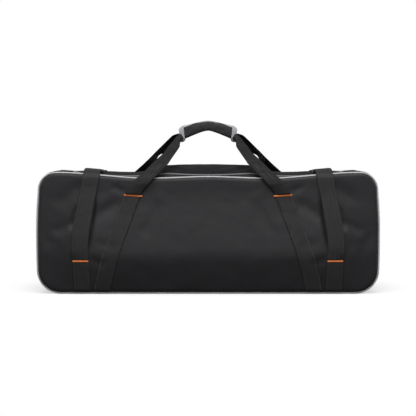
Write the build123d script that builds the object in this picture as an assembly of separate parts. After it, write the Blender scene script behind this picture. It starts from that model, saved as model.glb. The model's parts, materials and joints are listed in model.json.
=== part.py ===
from build123d import *
from math import sqrt
import os

# Soft-sided carry case for a telescope tube, in millimetres.
# X runs along the case, the front faces -Y and Z is up from the surface it stands on.
# The front panel is the padded lid: it folds down about its bottom edge and is zipped
# along the top and both ends.

# ---- overall form -------------------------------------------------------------
case_length = 777.0          # over the two ends at their fullest
seam_depth = 212.0           # between the front and the back piping
lid_height = 276.0           # top corners of the front panel
lid_dip = 12.0               # how far the panel's top edge sags in the middle
rim_rise = 3.0               # how much higher the body's top corners are
body_dip = 7.0
side_bulge = 3.0             # how far each end swells at half height
top_radius = 45.0
bottom_radius = 54.0
end_seam_margin = 3.0        # from the corner's start to the seam of the end panel
belly = 10.0                 # swell of the front and back panels in side view
belly_plan = 20.0            # the same in plan, before the side view limits it

# ---- materials and fits -------------------------------------------------------
skin = 1.6                   # coated outer fabric with its backing
lining = 0.8
foam = 12.0                  # padding of the walls
board = 3.0                  # stiffener in the base
back_step = 2.0              # the back's padding stops this far in front of its wall
piping_radius = 2.25
seam_gap = 0.1               # between pieces that are sewn or laid together
swing_gap = 0.5              # between pieces that move past each other

# ---- top panel ----------------------------------------------------------------
crest_rise = 13.0            # highest line, between the handles, above the body's corners
crest_round = 2.0            # how far it has dropped at the ends of the crest
crest_reach = 90.0           # half the crest's length
crest_foot = 165.0           # where the hump has died away
shoulder_drop = 2.5          # the panel outside the handles, below the body's corners
edge_drop = 0.5              # the panel's seams, below the middle of the rim

# ---- zip ----------------------------------------------------------------------
zip_inset = 8.0              # the zip lies this far inside the ends and the base
zip_drop = 6.0               # top face of its tape, below the middle of the front panel's edge
zip_tape = 1.2
zip_coil = 2.4               # coil thickness
coil_width = 2.25
zip_from_front = 11.5        # from the front piping to the zip's centre line
rim_from_front = 22.5        # from the front piping to the rim piping
zip_end_height = 40.0        # where the zip stops at the bottom of each end
coil_gap = 0.3               # between the two coils
slider_clear = 0.6           # between the coils and a slider
slider_length = 14.0
slider_width = 9.0
slider_height = 4.5
pull_length = 28.0
pull_width = 6.0
pull_thickness = 1.6
pin_radius = 0.8
pin_rise = 2.2               # pin above the slider's top
ear_thickness = 1.2

# ---- webbing ------------------------------------------------------------------
webbing = 1.8                # thickness
webbing_width = 38.0
strap_foot = 13.0            # sewn straps start this far above the base
bartack_height = 4.0
bartack_thickness = 0.8
tack_overlap = 2.5           # the sewn strap ends this far above its bartack's middle
handle_foot_from_end = 149.5     # handle strap at its foot, from the end of the case
handle_anchor_from_end = 220.0   # handle strap at its bartack
handle_anchor_drop = 53.5    # that bartack, below the front panel's top corners
rear_spread = 42.0           # the rear handle is sewn on this much wider each side
leg_slack = 2.4              # how far a leg stands off the panel above its bartack
closure_slack = 1.3          # the same for a closure strap
closure_foot_from_end = 104.5
closure_anchor_from_end = 101.0
closure_anchor_z = 75.0
closure_top_from_end = 127.5     # closure strap, where it passes over the top edge
closure_top_drop = 17.0      # the rear strap is sewn up to this far below the body's corners
tail_lean = 8.0              # the tail's end lies this much nearer the middle of the case
tail_end_y = 40.0            # the tail stops this far in front of the middle
patch_length = 30.0          # hook or loop patch
patch_thickness = 0.8
patch_margin = 2.0

# ---- grip ---------------------------------------------------------------------
grip_half_length = 65.0
grip_rise = 113.5            # top of the grip above the body's corners
grip_drop = 15.0             # how much lower its top is at the ends
grip_middle_height = 21.0
grip_end_height = 29.0
grip_half_depth = 15.0
core_inset = 2.0
skim = 0.05                  # between the binding and the padding it wraps
grip_core = 3.0              # depth of the webbing that runs through the grip
grip_round = 5.0
grip_gap = 4.0               # between the grip's end and the leg's last section
binding = 1.2
binding_band = 9.0
binding_edge = 2.5           # how far the binding comes down over the top edge

# ---- inside -------------------------------------------------------------------
cavity_drop = 2.0            # top of the lined space, below the zip
divider_from_end = 138.5
divider_thickness = 14.0
divider_gap = 1.0
divider_hook = 1.5
divider_hook_inset = 8.0

# ---- worked out ---------------------------------------------------------------
half_length = case_length / 2
body_height = lid_height + rim_rise
crest = body_height + crest_rise
shoulder = body_height - shoulder_drop
top_edge = body_height - body_dip - edge_drop
zip_height = lid_height - lid_dip - zip_drop
cavity_height = zip_height - cavity_drop
handle_foot_x = half_length - handle_foot_from_end
handle_anchor_x = half_length - handle_anchor_from_end
handle_anchor_z = lid_height - handle_anchor_drop
closure_foot_x = half_length - closure_foot_from_end
closure_anchor_x = half_length - closure_anchor_from_end
closure_top_x = half_length - closure_top_from_end
closure_top_z = body_height - closure_top_drop
divider_x = half_length - divider_from_end
grip_top = body_height + grip_rise
grip_end_top = grip_top - grip_drop
grip_underside = grip_top - grip_middle_height
grip_end_underside = grip_end_top - grip_end_height
seam_y = seam_depth / 2
skin_inner_y = seam_y + piping_radius + seam_gap
skin_outer_y = skin_inner_y + skin
rim_y = seam_y - rim_from_front
zip_y = seam_y - zip_from_front
body_front_y = -(rim_y - piping_radius - seam_gap)
body_back_y = seam_y - piping_radius - seam_gap
end_seam_x = half_length - side_bulge - bottom_radius - end_seam_margin
wall = skin + foam + 2 * seam_gap
lid_inner_y = zip_y
back_inner_y = seam_y - foam - back_step
far = 2.5 * case_length      # larger than the case, for cutting tools


# ---- outlines and layers ------------------------------------------------------
def outline(inset, height, dip, low=0.0, half=half_length, top_r=top_radius, bottom_r=bottom_radius):
    """Front view of the case: rounded corners, swelled ends, sagging top edge."""
    top = height - inset
    base = low + inset
    full = half - inset
    waist = full - side_bulge
    middle = (top + base) / 2
    edges = [
        Line((-waist, base), (waist, base)),
        ThreePointArc((waist, base), (full, middle), (waist, top)),
        Line((waist, top), (-waist, top)) if dip == 0 else
        ThreePointArc((waist, top), (0, top - dip), (-waist, top)),
        ThreePointArc((-waist, top), (-full, middle), (-waist, base)),
    ]
    face = make_face(edges)
    face = fillet(face.vertices().sort_by(Axis.Y)[:2], bottom_r - inset)
    return fillet(face.vertices().sort_by(Axis.Y)[-2:], top_r - inset)


def lid_outline(inset=0.0):
    return outline(inset, lid_height, lid_dip)


def body_outline(inset=0.0):
    return outline(inset, body_height, body_dip)


def zip_outline(inset=0.0):
    return outline(
        inset, zip_height, 0.0, low=zip_inset, half=half_length - zip_inset,
        top_r=top_radius - zip_inset, bottom_r=bottom_radius - zip_inset,
    )


def cavity_outline(inset=0.0):
    return outline(
        inset, cavity_height, 0.0, low=wall, half=half_length - wall,
        top_r=top_radius - wall, bottom_r=bottom_radius - wall,
    )


def slab(face, front, back):
    """A front-view face made solid between two values of Y."""
    return extrude(Plane.XZ.offset(-back) * face, amount=back - front)


def block(x, y, z):
    """A box from pairs of low and high values."""
    size = (x[1] - x[0], y[1] - y[0], z[1] - z[0])
    centre = ((x[0] + x[1]) / 2, (y[0] + y[1]) / 2, (z[0] + z[1]) / 2)
    return Pos(*centre) * Box(*size)


def crown(offset, height):
    """All that lies behind the swelled front surface, moved out by an offset."""
    y = -(skin_outer_y + offset)
    side = make_face([
        ThreePointArc((y, 0), (y - belly, height / 2), (y, height)),
        Polyline((y, height), (0, height), (0, 0), (y, 0)),
    ])
    plan = make_face([
        ThreePointArc((-half_length, y), (0, y - belly_plan), (half_length, y)),
        Polyline((half_length, y), (half_length, 0), (-half_length, 0), (-half_length, y)),
    ])
    across = extrude(Plane.YZ * side, amount=half_length, both=True)
    return across & extrude(plan, amount=height)


def layer(face, inner, outer, height):
    """The part of the swelled front layer, between two offsets, that a face covers."""
    return slab(face, -far, 0) & (crown(outer, height) - crown(inner, height))


def sag(sagitta, chord, distance):
    """Height of a shallow arc over its chord, at a distance from the middle."""
    radius = (chord * chord / 4 + sagitta * sagitta) / (2 * sagitta)
    return sqrt(radius * radius - distance * distance) - radius + sagitta


def surface_y(x, z, height):
    """Distance from the middle plane to the swelled outer face."""
    return skin_outer_y + min(sag(belly, height, z - height / 2), sag(belly_plan, case_length, x))


def group(solids):
    solids = list(solids)
    return solids[0] if len(solids) == 1 else Compound(children=solids)


def flip(shape, plane):
    return group(solid.mirror(plane) for solid in shape.solids())


def both_sides(shape):
    return {"left": shape, "right": flip(shape, Plane.YZ)}


def to_back(shape):
    return flip(shape, Plane.XZ)


# ---- ribbons of webbing -------------------------------------------------------
def ribbon(stations):
    """Webbing through stations of (centre, across, thickness), joined by straight runs."""
    centres = [Vector(*station[0]) for station in stations]
    sections = []
    for index, (centre, across, thickness) in enumerate(stations):
        ahead = centres[min(index + 1, len(centres) - 1)]
        behind = centres[max(index - 1, 0)]
        run = (ahead - behind).normalized()
        half = Vector(*across) / 2
        lift = run.cross(half).normalized() * (thickness / 2)
        middle = Vector(*centre)
        corners = [middle + half + lift, middle - half + lift, middle - half - lift, middle + half - lift]
        sections.append(Face(Wire.make_polygon(corners, close=True)))
    return loft(sections, ruled=True)


def band(low, high, width=webbing_width):
    """Front-view face of a straight strap from (x, z) to (x, z), cut level at both ends."""
    half = width / 2
    return make_face(Polyline(
        (low[0] - half, low[1]), (low[0] + half, low[1]),
        (high[0] + half, high[1]), (high[0] - half, high[1]), close=True,
    ))


def sewn_strap(low, high, height):
    return layer(band(low, high), seam_gap, seam_gap + webbing, height)


def bartack(x, z, height):
    """Dense bar of thread across a strap."""
    inner = 2 * seam_gap + webbing
    bar = band((x, z - bartack_height / 2), (x, z + bartack_height / 2), webbing_width)
    return layer(bar, inner, inner + bartack_thickness, height)


# ---- panels, padding and lining ----------------------------------------------
def gusset(outer, inner, front, back):
    return slab(outer, front, back) - slab(inner, front - 1, back + 1)


left_end = block((-far, -end_seam_x), (-far, far), (-far, far))
mid_span = block((-end_seam_x + seam_gap, end_seam_x - seam_gap), (-far, far), (-far, far))
lower_half = block((-far, far), (-far, far), (-far, body_height / 2))


def top_form(drop):
    """All that lies below the top panel's outer face, let down by a drop."""
    span = end_seam_x - seam_gap
    hump = Spline(
        (-crest_foot, shoulder), (-crest_reach, crest - crest_round), (0, crest),
        (crest_reach, crest - crest_round), (crest_foot, shoulder), tangents=[(1, 0), (1, 0)],
    )
    front_view = make_face([
        Polyline((crest_foot, shoulder), (span, shoulder), (span, 0),
                 (-span, 0), (-span, shoulder), (-crest_foot, shoulder)),
        hump,
    ])
    middle = (body_back_y + body_front_y) / 2
    side_view = make_face([
        ThreePointArc((body_front_y, top_edge), (middle, crest), (body_back_y, top_edge)),
        Polyline((body_back_y, top_edge), (body_back_y, 0),
                 (body_front_y, 0), (body_front_y, top_edge)),
    ])
    form = slab(front_view, -far, far) & extrude(Plane.YZ * side_view, amount=far, both=True)
    return Pos(0, 0, -drop) * form


foam_span_y = (body_front_y, back_inner_y - seam_gap)


def cut_above(shape, z):
    return shape & block((-far, far), (-far, far), (z, far))


def body_panels():
    skin_ring = gusset(body_outline(), body_outline(skin), body_front_y, body_back_y)
    inner = body_outline(skin + seam_gap)
    foam_ring = gusset(inner, cavity_outline(-seam_gap), *foam_span_y)
    base_ring = gusset(
        body_outline(skin + board + 2 * seam_gap), cavity_outline(-seam_gap), *foam_span_y,
    )
    pieces = {
        "base_panel": skin_ring & mid_span & lower_half,
        "top_panel": top_form(0) - top_form(skin),
        "foam_base": base_ring & mid_span & lower_half,
        "foam_top": cut_above(top_form(skin + seam_gap), cavity_height + seam_gap)
        & block((-far, far), foam_span_y, (0, far)),
        "base_board": block(
            (-end_seam_x, end_seam_x), foam_span_y, (skin + seam_gap, skin + seam_gap + board),
        ),
    }
    for side, shape in both_sides(skin_ring & left_end).items():
        pieces["end_panel_" + side] = shape
    for side, shape in both_sides(foam_ring & left_end).items():
        pieces["foam_end_" + side] = shape
    pieces["back_panel"] = to_back(layer(body_outline(piping_radius), -skin, 0, body_height))
    back_fill = slab(body_outline(wall - lining), -far, -back_inner_y) & crown(-skin - seam_gap, body_height)
    pieces["foam_back"] = to_back(back_fill)
    return pieces


def linings():
    cup = slab(cavity_outline(), foam_span_y[0], foam_span_y[1])
    hollow = slab(cavity_outline(lining), foam_span_y[0] - 1, foam_span_y[1] - lining)
    sheet = slab(zip_outline(zip_coil + lining), -lid_inner_y, -lid_inner_y + lining)
    return {"body_lining": cup - hollow, "lid_lining": sheet}


def lid_panels():
    fill = slab(zip_outline(zip_coil + lining), -far, -lid_inner_y - seam_gap)
    return {
        "front_panel": layer(lid_outline(piping_radius), -skin, 0, lid_height),
        "foam_front": fill & crown(-skin - seam_gap, lid_height),
    }


# ---- piping -------------------------------------------------------------------
def piping(face, y):
    path = (Plane.XZ.offset(-y) * face).faces()[0].outer_wire()
    start = path @ 0
    section = Plane(origin=start, z_dir=path % 0) * Circle(piping_radius)
    return sweep(section, path=path)


def pipings():
    return {
        "front_piping": piping(lid_outline(piping_radius), -seam_y),
        "rim_piping": piping(body_outline(piping_radius), -rim_y),
        "back_piping": piping(body_outline(piping_radius), seam_y),
    }


# ---- zip ----------------------------------------------------------------------
def zip_run(outer, inner, front, back):
    """A strip along the zip's line: up both ends and over the top."""
    return cut_above(gusset(zip_outline(outer), zip_outline(inner), front, back), zip_end_height)


def zip_parts():
    half_gap = coil_gap / 2
    coil_front = -zip_y - half_gap - coil_width
    coil_back = -zip_y + half_gap + coil_width
    out = -zip_coil / 2
    return {
        "zip_tape_lid": zip_run(0, zip_tape, -skin_inner_y + seam_gap, coil_front - seam_gap),
        "zip_coil_lid": zip_run(out, -out, coil_front, -zip_y - half_gap),
        "zip_coil_body": zip_run(out, -out, -zip_y + half_gap, coil_back),
        "zip_tape_body": zip_run(0, zip_tape, coil_back + seam_gap, body_front_y - seam_gap),
        "lid_hinge_strip": block(
            (-end_seam_x, end_seam_x),
            (-seam_y + piping_radius + 3 * swing_gap, -rim_y - piping_radius - seam_gap),
            (swing_gap, swing_gap + skin),
        ),
    }


slider_low = zip_height + zip_coil / 2 + slider_clear
slider_top = slider_low + slider_height
pin_z = slider_top + pin_rise
slider_x = -slider_length / 2 - 2 * swing_gap


def slider():
    """Left slider: body, two ears and the pin that the pull hangs on."""
    body = Box(slider_length, slider_width, slider_height)
    body = Pos(slider_x, -zip_y, slider_low + slider_height / 2) * body
    body = fillet(body.edges().filter_by(Axis.Z), slider_width / 4.5)
    ear_height = pin_rise + 2 * pin_radius
    ear = Box(4 * pin_radius, ear_thickness, ear_height, align=(Align.CENTER, Align.CENTER, Align.MIN))
    offset = pull_width / 2 + ear_thickness / 2 + coil_gap
    for side in (-offset, offset):
        body += Pos(slider_x, -zip_y + side, slider_top) * ear
    pin = Pos(slider_x, -zip_y, pin_z) * Rot(90, 0, 0) * Cylinder(pin_radius, 2 * offset)
    return body + pin


def pull():
    """Left pull: a flat tab with an eye round the slider's pin."""
    half = pull_thickness / 2
    eye = Rot(90, 0, 0) * Cylinder(pin_radius + coil_gap + half, pull_width)
    tab = block((-pull_length, 0), (-pull_width / 2, pull_width / 2), (-half, half))
    tab = fillet(tab.edges().filter_by(Axis.Z), pull_width / 4)
    bore = Rot(90, 0, 0) * Cylinder(pin_radius + coil_gap, 2 * pull_width)
    return Pos(slider_x, -zip_y, pin_z) * (eye + tab - bore)


# ---- sewn straps --------------------------------------------------------------
def strap_lines(spread):
    """Foot and anchor points of the left handle strap and the left closure strap."""
    handle_end = handle_anchor_z + tack_overlap
    closure_end = closure_anchor_z + tack_overlap
    handle = ((-handle_foot_x, strap_foot), (-handle_anchor_x - spread, handle_end))
    closure = ((-closure_foot_x, strap_foot), (-closure_anchor_x, closure_end))
    return handle, closure


def front_straps():
    handle, closure = strap_lines(0.0)
    pieces = {}
    for side, shape in both_sides(sewn_strap(*handle, lid_height)).items():
        pieces["front_handle_strap_" + side] = shape
    for side, shape in both_sides(sewn_strap(*closure, lid_height)).items():
        pieces["front_closure_strap_" + side] = shape
    bars = []
    for x, z in ((handle_anchor_x, handle_anchor_z), (closure_anchor_x, closure_anchor_z)):
        bars += both_sides(bartack(-x, z, lid_height)).values()
    pieces["front_bartacks"] = group(solid for bar in bars for solid in bar.solids())
    return pieces


def rear_straps():
    handle, closure = strap_lines(rear_spread)
    closure_top = (-closure_top_x, closure_top_z)
    pieces = {}
    for side, shape in both_sides(to_back(sewn_strap(*handle, body_height))).items():
        pieces["rear_handle_strap_" + side] = shape
    for side, shape in both_sides(to_back(sewn_strap(closure[0], closure_top, body_height))).items():
        pieces["rear_closure_strap_" + side] = shape
    bars = []
    rear_anchor_x = handle_anchor_x + rear_spread
    lean = (closure_anchor_z - strap_foot) / (closure_top[1] - strap_foot)
    tack_x = closure_foot_x + (closure_top_x - closure_foot_x) * lean
    for x, z in ((rear_anchor_x, handle_anchor_z), (tack_x, closure_anchor_z)):
        bars += both_sides(to_back(bartack(-x, z, body_height))).values()
    pieces["rear_bartacks"] = group(solid for bar in bars for solid in bar.solids())
    return pieces


# ---- closure straps -----------------------------------------------------------
strap_top = shoulder + seam_gap + webbing
tail_under = strap_top + 3 * seam_gap + 2 * patch_thickness


def top_strap():
    """Left strap that comes over the back edge and lies sewn on the top panel."""
    across = (webbing_width, 0, 0)
    start_z = closure_top_z + swing_gap
    surface = surface_y(closure_top_x, start_z, body_height) + seam_gap + webbing / 2
    lie = shoulder + seam_gap + webbing / 2
    top_x = -closure_top_x
    end_x = top_x + tail_lean
    over = 1.1 * closure_top_drop
    route = [
        (top_x, surface, start_z),
        (top_x, surface - swing_gap, closure_top_z + 0.75 * closure_top_drop),
        (top_x, seam_y, lie + over / 16),
        (top_x, seam_y - over / 2, lie + over / 16),
        (top_x, seam_y - over, lie + seam_gap),
        (end_x, -tail_end_y - patch_length - 2 * patch_margin, lie + seam_gap),
    ]
    return ribbon([(point, across, webbing) for point in route])


def closure_strap():
    """Left free strap, from its bartack up the front and over the front edge."""
    across = (webbing_width, 0, 0)
    start_z = closure_anchor_z + tack_overlap + swing_gap
    rise = lid_height - start_z

    def stand(share, off, x):
        z = start_z + share * rise
        return (-x, -(surface_y(x, z, lid_height) + swing_gap + webbing / 2 + off), z)

    lean = closure_anchor_x - closure_top_x
    route = [
        stand(0.0, 0.0, closure_anchor_x),
        stand(0.1, 0.7 * closure_slack, closure_anchor_x - 0.02 * lean),
        stand(0.3, closure_slack, closure_anchor_x - 0.06 * lean),
        stand(0.5, closure_slack, closure_anchor_x - 0.28 * lean),
        stand(0.7, closure_slack, closure_anchor_x - 0.55 * lean),
        stand(0.93, 0.6 * closure_slack, closure_anchor_x - 0.94 * lean),
        (-closure_top_x, -skin_outer_y - 2 * webbing, lid_height - 2 * webbing),
        (-closure_top_x, -skin_outer_y - 0.7 * webbing, lid_height + swing_gap),
        (-closure_top_x, -seam_y + swing_gap, tail_under - 0.7 * webbing),
        (-closure_top_x, -seam_y + 3 * piping_radius, tail_under),
    ]
    return ribbon([(point, across, webbing) for point in route])


def closure_tail():
    across = (webbing_width, 0, 0)
    lie = tail_under + webbing / 2
    route = [
        (-closure_top_x, -seam_y + 3 * piping_radius + swing_gap, tail_under + seam_gap),
        (-closure_top_x, -rim_y - 3 * piping_radius, lie),
        (-closure_top_x + tail_lean, -tail_end_y, lie),
    ]
    return ribbon([(point, across, webbing) for point in route])


def patch(low):
    """Hook or loop patch under the left tail."""
    width = webbing_width - 2 * patch_margin
    middle = (-closure_top_x + 0.6 * tail_lean, -tail_end_y - patch_margin - patch_length / 2)
    return Pos(*middle, low + patch_thickness / 2) * Box(width, patch_length, patch_thickness)


# ---- handles ------------------------------------------------------------------
def handle_leg(spread, height):
    """Left free leg of the front handle, from its bartack to the grip."""
    start_z = handle_anchor_z + tack_overlap + swing_gap
    start_x = handle_anchor_x + spread
    start_y = surface_y(start_x, start_z, height) + seam_gap + webbing / 2
    grip_x = grip_half_length + grip_gap
    grip_z = (grip_end_top + grip_end_underside) / 2
    rise = grip_z - start_z
    run = start_x - grip_x

    def at(share_x, y, share_z):
        return (-(start_x - share_x * run), -y, start_z + share_z * rise)

    slope = (0.77, 0, -0.64)     # across the leg, square to its rise

    def wide(share):
        return tuple(share * webbing_width * part for part in slope)

    def across_grip(share):
        return share * webbing_width, 0, -0.5 * webbing_width

    stations = [
        (at(0.0, start_y, 0.0), (webbing_width, 0, 0), webbing),
        (at(0.13, start_y + 0.9 * leg_slack, 0.145), wide(0.92), webbing),
        (at(0.33, start_y + leg_slack, 0.33), wide(0.87), 1.1 * webbing),
        (at(0.42, 0.96 * start_y, 0.42), wide(0.855), 1.2 * webbing),
        (at(0.60, 0.74 * start_y, 0.56), wide(0.815), 1.4 * webbing),
        (at(0.83, 0.39 * start_y, 0.78), wide(0.66), 1.9 * webbing),
        (at(0.96, 0.14 * start_y, 0.95), across_grip(0.2), 2.2 * webbing),
        (at(1.0, 0.43 * grip_half_depth, 1.0), across_grip(0.08), 2.2 * webbing),
    ]
    return ribbon(stations)


def grip_face(grow=0.0, lift=None):
    """Front view of the bent grip, with an allowance all round; a lift leaves only its top edge."""
    end = grip_half_length + grow
    high = grip_end_top + grow
    if lift is None:
        low, low_middle = grip_end_underside - grow, grip_underside - grow
    else:
        low, low_middle = grip_end_top - binding_edge, grip_underside + lift
    return make_face([
        ThreePointArc((-end, high), (0, grip_top + grow), (end, high)),
        Line((end, high), (end, low)),
        ThreePointArc((end, low), (0, low_middle), (-end, low)),
        Line((-end, low), (-end, high)),
    ])


def grip_parts():
    """Front half of the grip: padding, the webbing inside it and the bound edge."""
    clear = swing_gap
    core_y = clear + grip_core
    pad = slab(grip_face(-binding), -grip_half_depth, -core_y - seam_gap)
    thinnest = min(grip_middle_height, grip_end_height, grip_half_depth) - 2 * binding
    pad = fillet(pad.edges().group_by(Axis.Y)[0], min(grip_round, 0.4 * thinnest))
    core = slab(grip_face(-binding - core_inset), -core_y, -clear)
    sleeve = slab(grip_face(0.0), -grip_half_depth - binding, -clear)
    sleeve -= slab(grip_face(-binding + skim), -grip_half_depth - skim, 0)
    ends = block((grip_half_length - binding_band, far), (-far, far), (0, far))
    keep = ends + flip(ends, Plane.YZ)
    edge = slab(grip_face(binding, lift=grip_middle_height - binding_edge), -far, far)
    return {"pad": pad, "core": core, "binding": sleeve & (keep + edge)}


def handles():
    pieces = {}
    for side, shape in both_sides(handle_leg(0.0, lid_height)).items():
        pieces["front_handle_leg_" + side] = shape
    for side, shape in both_sides(to_back(handle_leg(rear_spread, body_height))).items():
        pieces["rear_handle_leg_" + side] = shape
    for name, shape in grip_parts().items():
        pieces["front_grip_" + name] = shape
        pieces["rear_grip_" + name] = to_back(shape)
    return pieces


# ---- dividers -----------------------------------------------------------------
def dividers():
    x = (-divider_x - divider_thickness / 2, -divider_x + divider_thickness / 2)
    front = -lid_inner_y + lining + divider_gap
    back = foam_span_y[1] - lining - divider_gap
    low = wall + lining + seam_gap
    high = cavity_height - lining - divider_gap
    pad_back = back - divider_hook - seam_gap
    pad = block(x, (front, pad_back), (low, high))
    pad = fillet(pad.edges().filter_by(Axis.X), divider_hook_inset / 2)
    hook_x = (x[0] + patch_margin, x[1] - patch_margin)
    hook_z = (low + divider_hook_inset, high - divider_hook_inset)
    hook = block(hook_x, (back - divider_hook, back), hook_z)
    pieces = {}
    for side, shape in both_sides(pad).items():
        pieces["divider_" + side] = shape
    for side, shape in both_sides(hook).items():
        pieces["divider_hook_" + side] = shape
    return pieces


# ---- all pieces ---------------------------------------------------------------
parts = {}
for maker in (body_panels, linings, lid_panels, pipings, zip_parts, front_straps, rear_straps,
              handles, dividers):
    parts.update(maker())

paired = {
    "zip_slider": slider(),
    "zip_pull": pull(),
    "top_closure_strap": top_strap(),
    "closure_strap": closure_strap(),
    "closure_tail": closure_tail(),
    "closure_hook": patch(strap_top + 2 * seam_gap + patch_thickness),
}
for name, shape in paired.items():
    for side, piece in both_sides(shape).items():
        parts[name + "_" + side] = piece

loops = both_sides(patch(strap_top + seam_gap))
parts["closure_loops"] = group(side.solid() for side in loops.values())

os.makedirs("parts", exist_ok=True)
for name, shape in parts.items():
    export_step(shape, "parts/" + name + ".step")
    print(name, round(shape.volume, 1))
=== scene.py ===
"""A soft padded carry case: black woven polyester, grey piping, webbing handles and closure straps.

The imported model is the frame. Lengths in this file are millimetres until a mesh is made.
"""

import json
import math

import bmesh
import bpy
import numpy as np
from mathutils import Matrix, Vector


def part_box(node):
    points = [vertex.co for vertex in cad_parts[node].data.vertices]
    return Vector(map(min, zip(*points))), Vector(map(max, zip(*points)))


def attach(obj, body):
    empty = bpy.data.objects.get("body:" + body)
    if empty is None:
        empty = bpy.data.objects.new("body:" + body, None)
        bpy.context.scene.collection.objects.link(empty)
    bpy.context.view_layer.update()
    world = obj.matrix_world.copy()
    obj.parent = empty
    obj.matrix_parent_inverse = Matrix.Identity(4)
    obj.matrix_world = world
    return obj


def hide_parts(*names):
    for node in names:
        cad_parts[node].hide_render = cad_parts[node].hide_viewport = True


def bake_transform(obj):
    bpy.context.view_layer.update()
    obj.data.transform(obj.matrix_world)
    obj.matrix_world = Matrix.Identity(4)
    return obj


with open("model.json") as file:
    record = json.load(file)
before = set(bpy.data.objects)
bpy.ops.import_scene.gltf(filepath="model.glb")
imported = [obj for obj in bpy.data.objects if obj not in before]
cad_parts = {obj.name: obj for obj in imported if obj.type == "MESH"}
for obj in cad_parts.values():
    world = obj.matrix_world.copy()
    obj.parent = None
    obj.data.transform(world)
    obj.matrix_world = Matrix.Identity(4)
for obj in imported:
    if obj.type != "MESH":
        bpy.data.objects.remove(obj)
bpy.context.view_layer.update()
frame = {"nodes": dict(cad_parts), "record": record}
body_of_node = {
    node: body
    for body, nodes in frame["record"]["behaviour"]["bodies"].items()
    for node in nodes
}
SIDES = {"left": -1.0, "right": 1.0}


def box_mm(node):
    """Lowest and highest corner of a node of the frame, in millimetres."""
    low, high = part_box(node)
    return np.array(low) * 1000, np.array(high) * 1000


# ---- sizes of the case -------------------------------------------------------------------
HALF = box_mm("front_piping")[1][0]        # half the length, over the piping
PIPE_R = (box_mm("front_piping")[1][1] - box_mm("front_piping")[0][1]) / 2
SEAM_Y = -(box_mm("front_piping")[0][1] + PIPE_R)      # front seam, in front of the middle
RIM_Y = -(box_mm("rim_piping")[0][1] + PIPE_R)
BACK_Y = box_mm("back_piping")[1][1] - PIPE_R
SWELL = 3.0                                # the ends are this much fuller at half height
WAIST = HALF - SWELL
TOP_R, BOTTOM_R = 39.0, 52.5               # corners seen from the front
ZIP_IN = 8.0                               # the zip lies this far inside the edge
CREASE_Z, TACK_Z = 87.0, 226.0             # the slack front folds at one and hangs from the other
PITCH = 5.0                                # spacing of points on the cloth


def smooth(value, low, high):
    """0 below low, 1 above high, and a smooth step between them."""
    t = np.clip((value - low) / (high - low), 0, 1)
    return t * t * (3 - 2 * t)


def lid_sag(x):
    """The lid's top edge sags between the ends and is lifted a little in the middle."""
    return 13.4 * (1 - smooth(np.abs(x), 130, 340)) - 4.0 * np.exp(-(x / 80) ** 2)


def rim_sag(x):
    """The rim sags less, and is drawn up under the handle straps."""
    reach = np.abs(x)
    return (9.2 * (1 - smooth(reach, 185, 345)) - 3.0 * np.exp(-((reach - 98) / 42) ** 2)
            + 3.2 * np.exp(-((reach - 322) / 34) ** 2))


def level(x):
    return 0.0 * x


LID = (276.0, lid_sag)                     # height at the corners, fall of the top edge
BODY = (279.0, rim_sag)


def warp(x, z, shape):
    """Plain rounded rectangle to the real outline: swelled ends and a sagging top edge."""
    height, sag = shape
    up = np.clip(z / height, 0.0, 1.2)
    fuller = (1 + SWELL / WAIST * (1 - (2 * up - 1) ** 2)) * (1 - 0.0062 * smooth(up, 0.56, 0.9))
    return x * fuller, z - sag(x) * up ** 2


def corner_arc(centre_x, centre_z, radius, start, end, steps):
    turn = np.linspace(start, end, steps + 1)
    return np.column_stack([centre_x + radius * np.cos(turn), centre_z + radius * np.sin(turn)])


def loop_points(inset, shape, pitch=PITCH):
    """Closed path at an inset from the outline, from the middle of the base to the right.

    Paths of any inset and shape have matching points.
    """
    half = WAIST - inset
    low, high = inset, shape[0] - inset
    top_r, bottom_r = TOP_R - inset, BOTTOM_R - inset
    quarter = math.pi / 2
    arcs = [
        corner_arc(half - bottom_r, low + bottom_r, bottom_r, -quarter, 0, 16),
        corner_arc(half - top_r, high - top_r, top_r, 0, quarter, 12),
        corner_arc(-half + top_r, high - top_r, top_r, quarter, 2 * quarter, 12),
        corner_arc(-half + bottom_r, low + bottom_r, bottom_r, 2 * quarter, 3 * quarter, 16),
    ]
    base_run, side_run = WAIST - BOTTOM_R, LID[0] - BOTTOM_R - TOP_R
    runs = [base_run, side_run, 2 * (WAIST - TOP_R), side_run, base_run]
    start = np.array([0.0, low])
    path = [start[None]]
    last = start
    for run, arc in zip(runs, arcs + [start[None]]):
        steps = int(round(run / pitch))
        path.append(last + (arc[0] - last) * (np.arange(1, steps) / steps)[:, None])
        path.append(arc)
        last = arc[-1]
    points = np.vstack(path)[:-1]
    x, z = warp(points[:, 0], points[:, 1], shape)
    return np.column_stack([x, z])


def outward(path):
    """Unit normals of a closed path in the front view."""
    run = np.roll(path, -1, 0) - np.roll(path, 1, 0)
    normal = np.column_stack([run[:, 1], -run[:, 0]])
    return normal / np.linalg.norm(normal, axis=1)[:, None]


def waves(u, v, seed, length, octaves=4):
    """Soft seeded noise from -1 to 1, made of crossing waves; length is its largest size."""
    rng = np.random.default_rng(seed)
    total, weight = np.zeros(np.shape(u)), 0.0
    for octave in range(octaves):
        size = length / 1.7 ** octave
        part = np.zeros(np.shape(u))
        for _ in range(5):
            angle, phase = rng.uniform(0, 2 * math.pi, 2)
            k = 2 * math.pi / (size * rng.uniform(0.7, 1.3))
            part = part + np.sin(k * (np.cos(angle) * u + np.sin(angle) * v) + phase)
        total = total + part / 2.6 * 0.6 ** octave
        weight += 0.6 ** octave
    return total / weight


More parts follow.
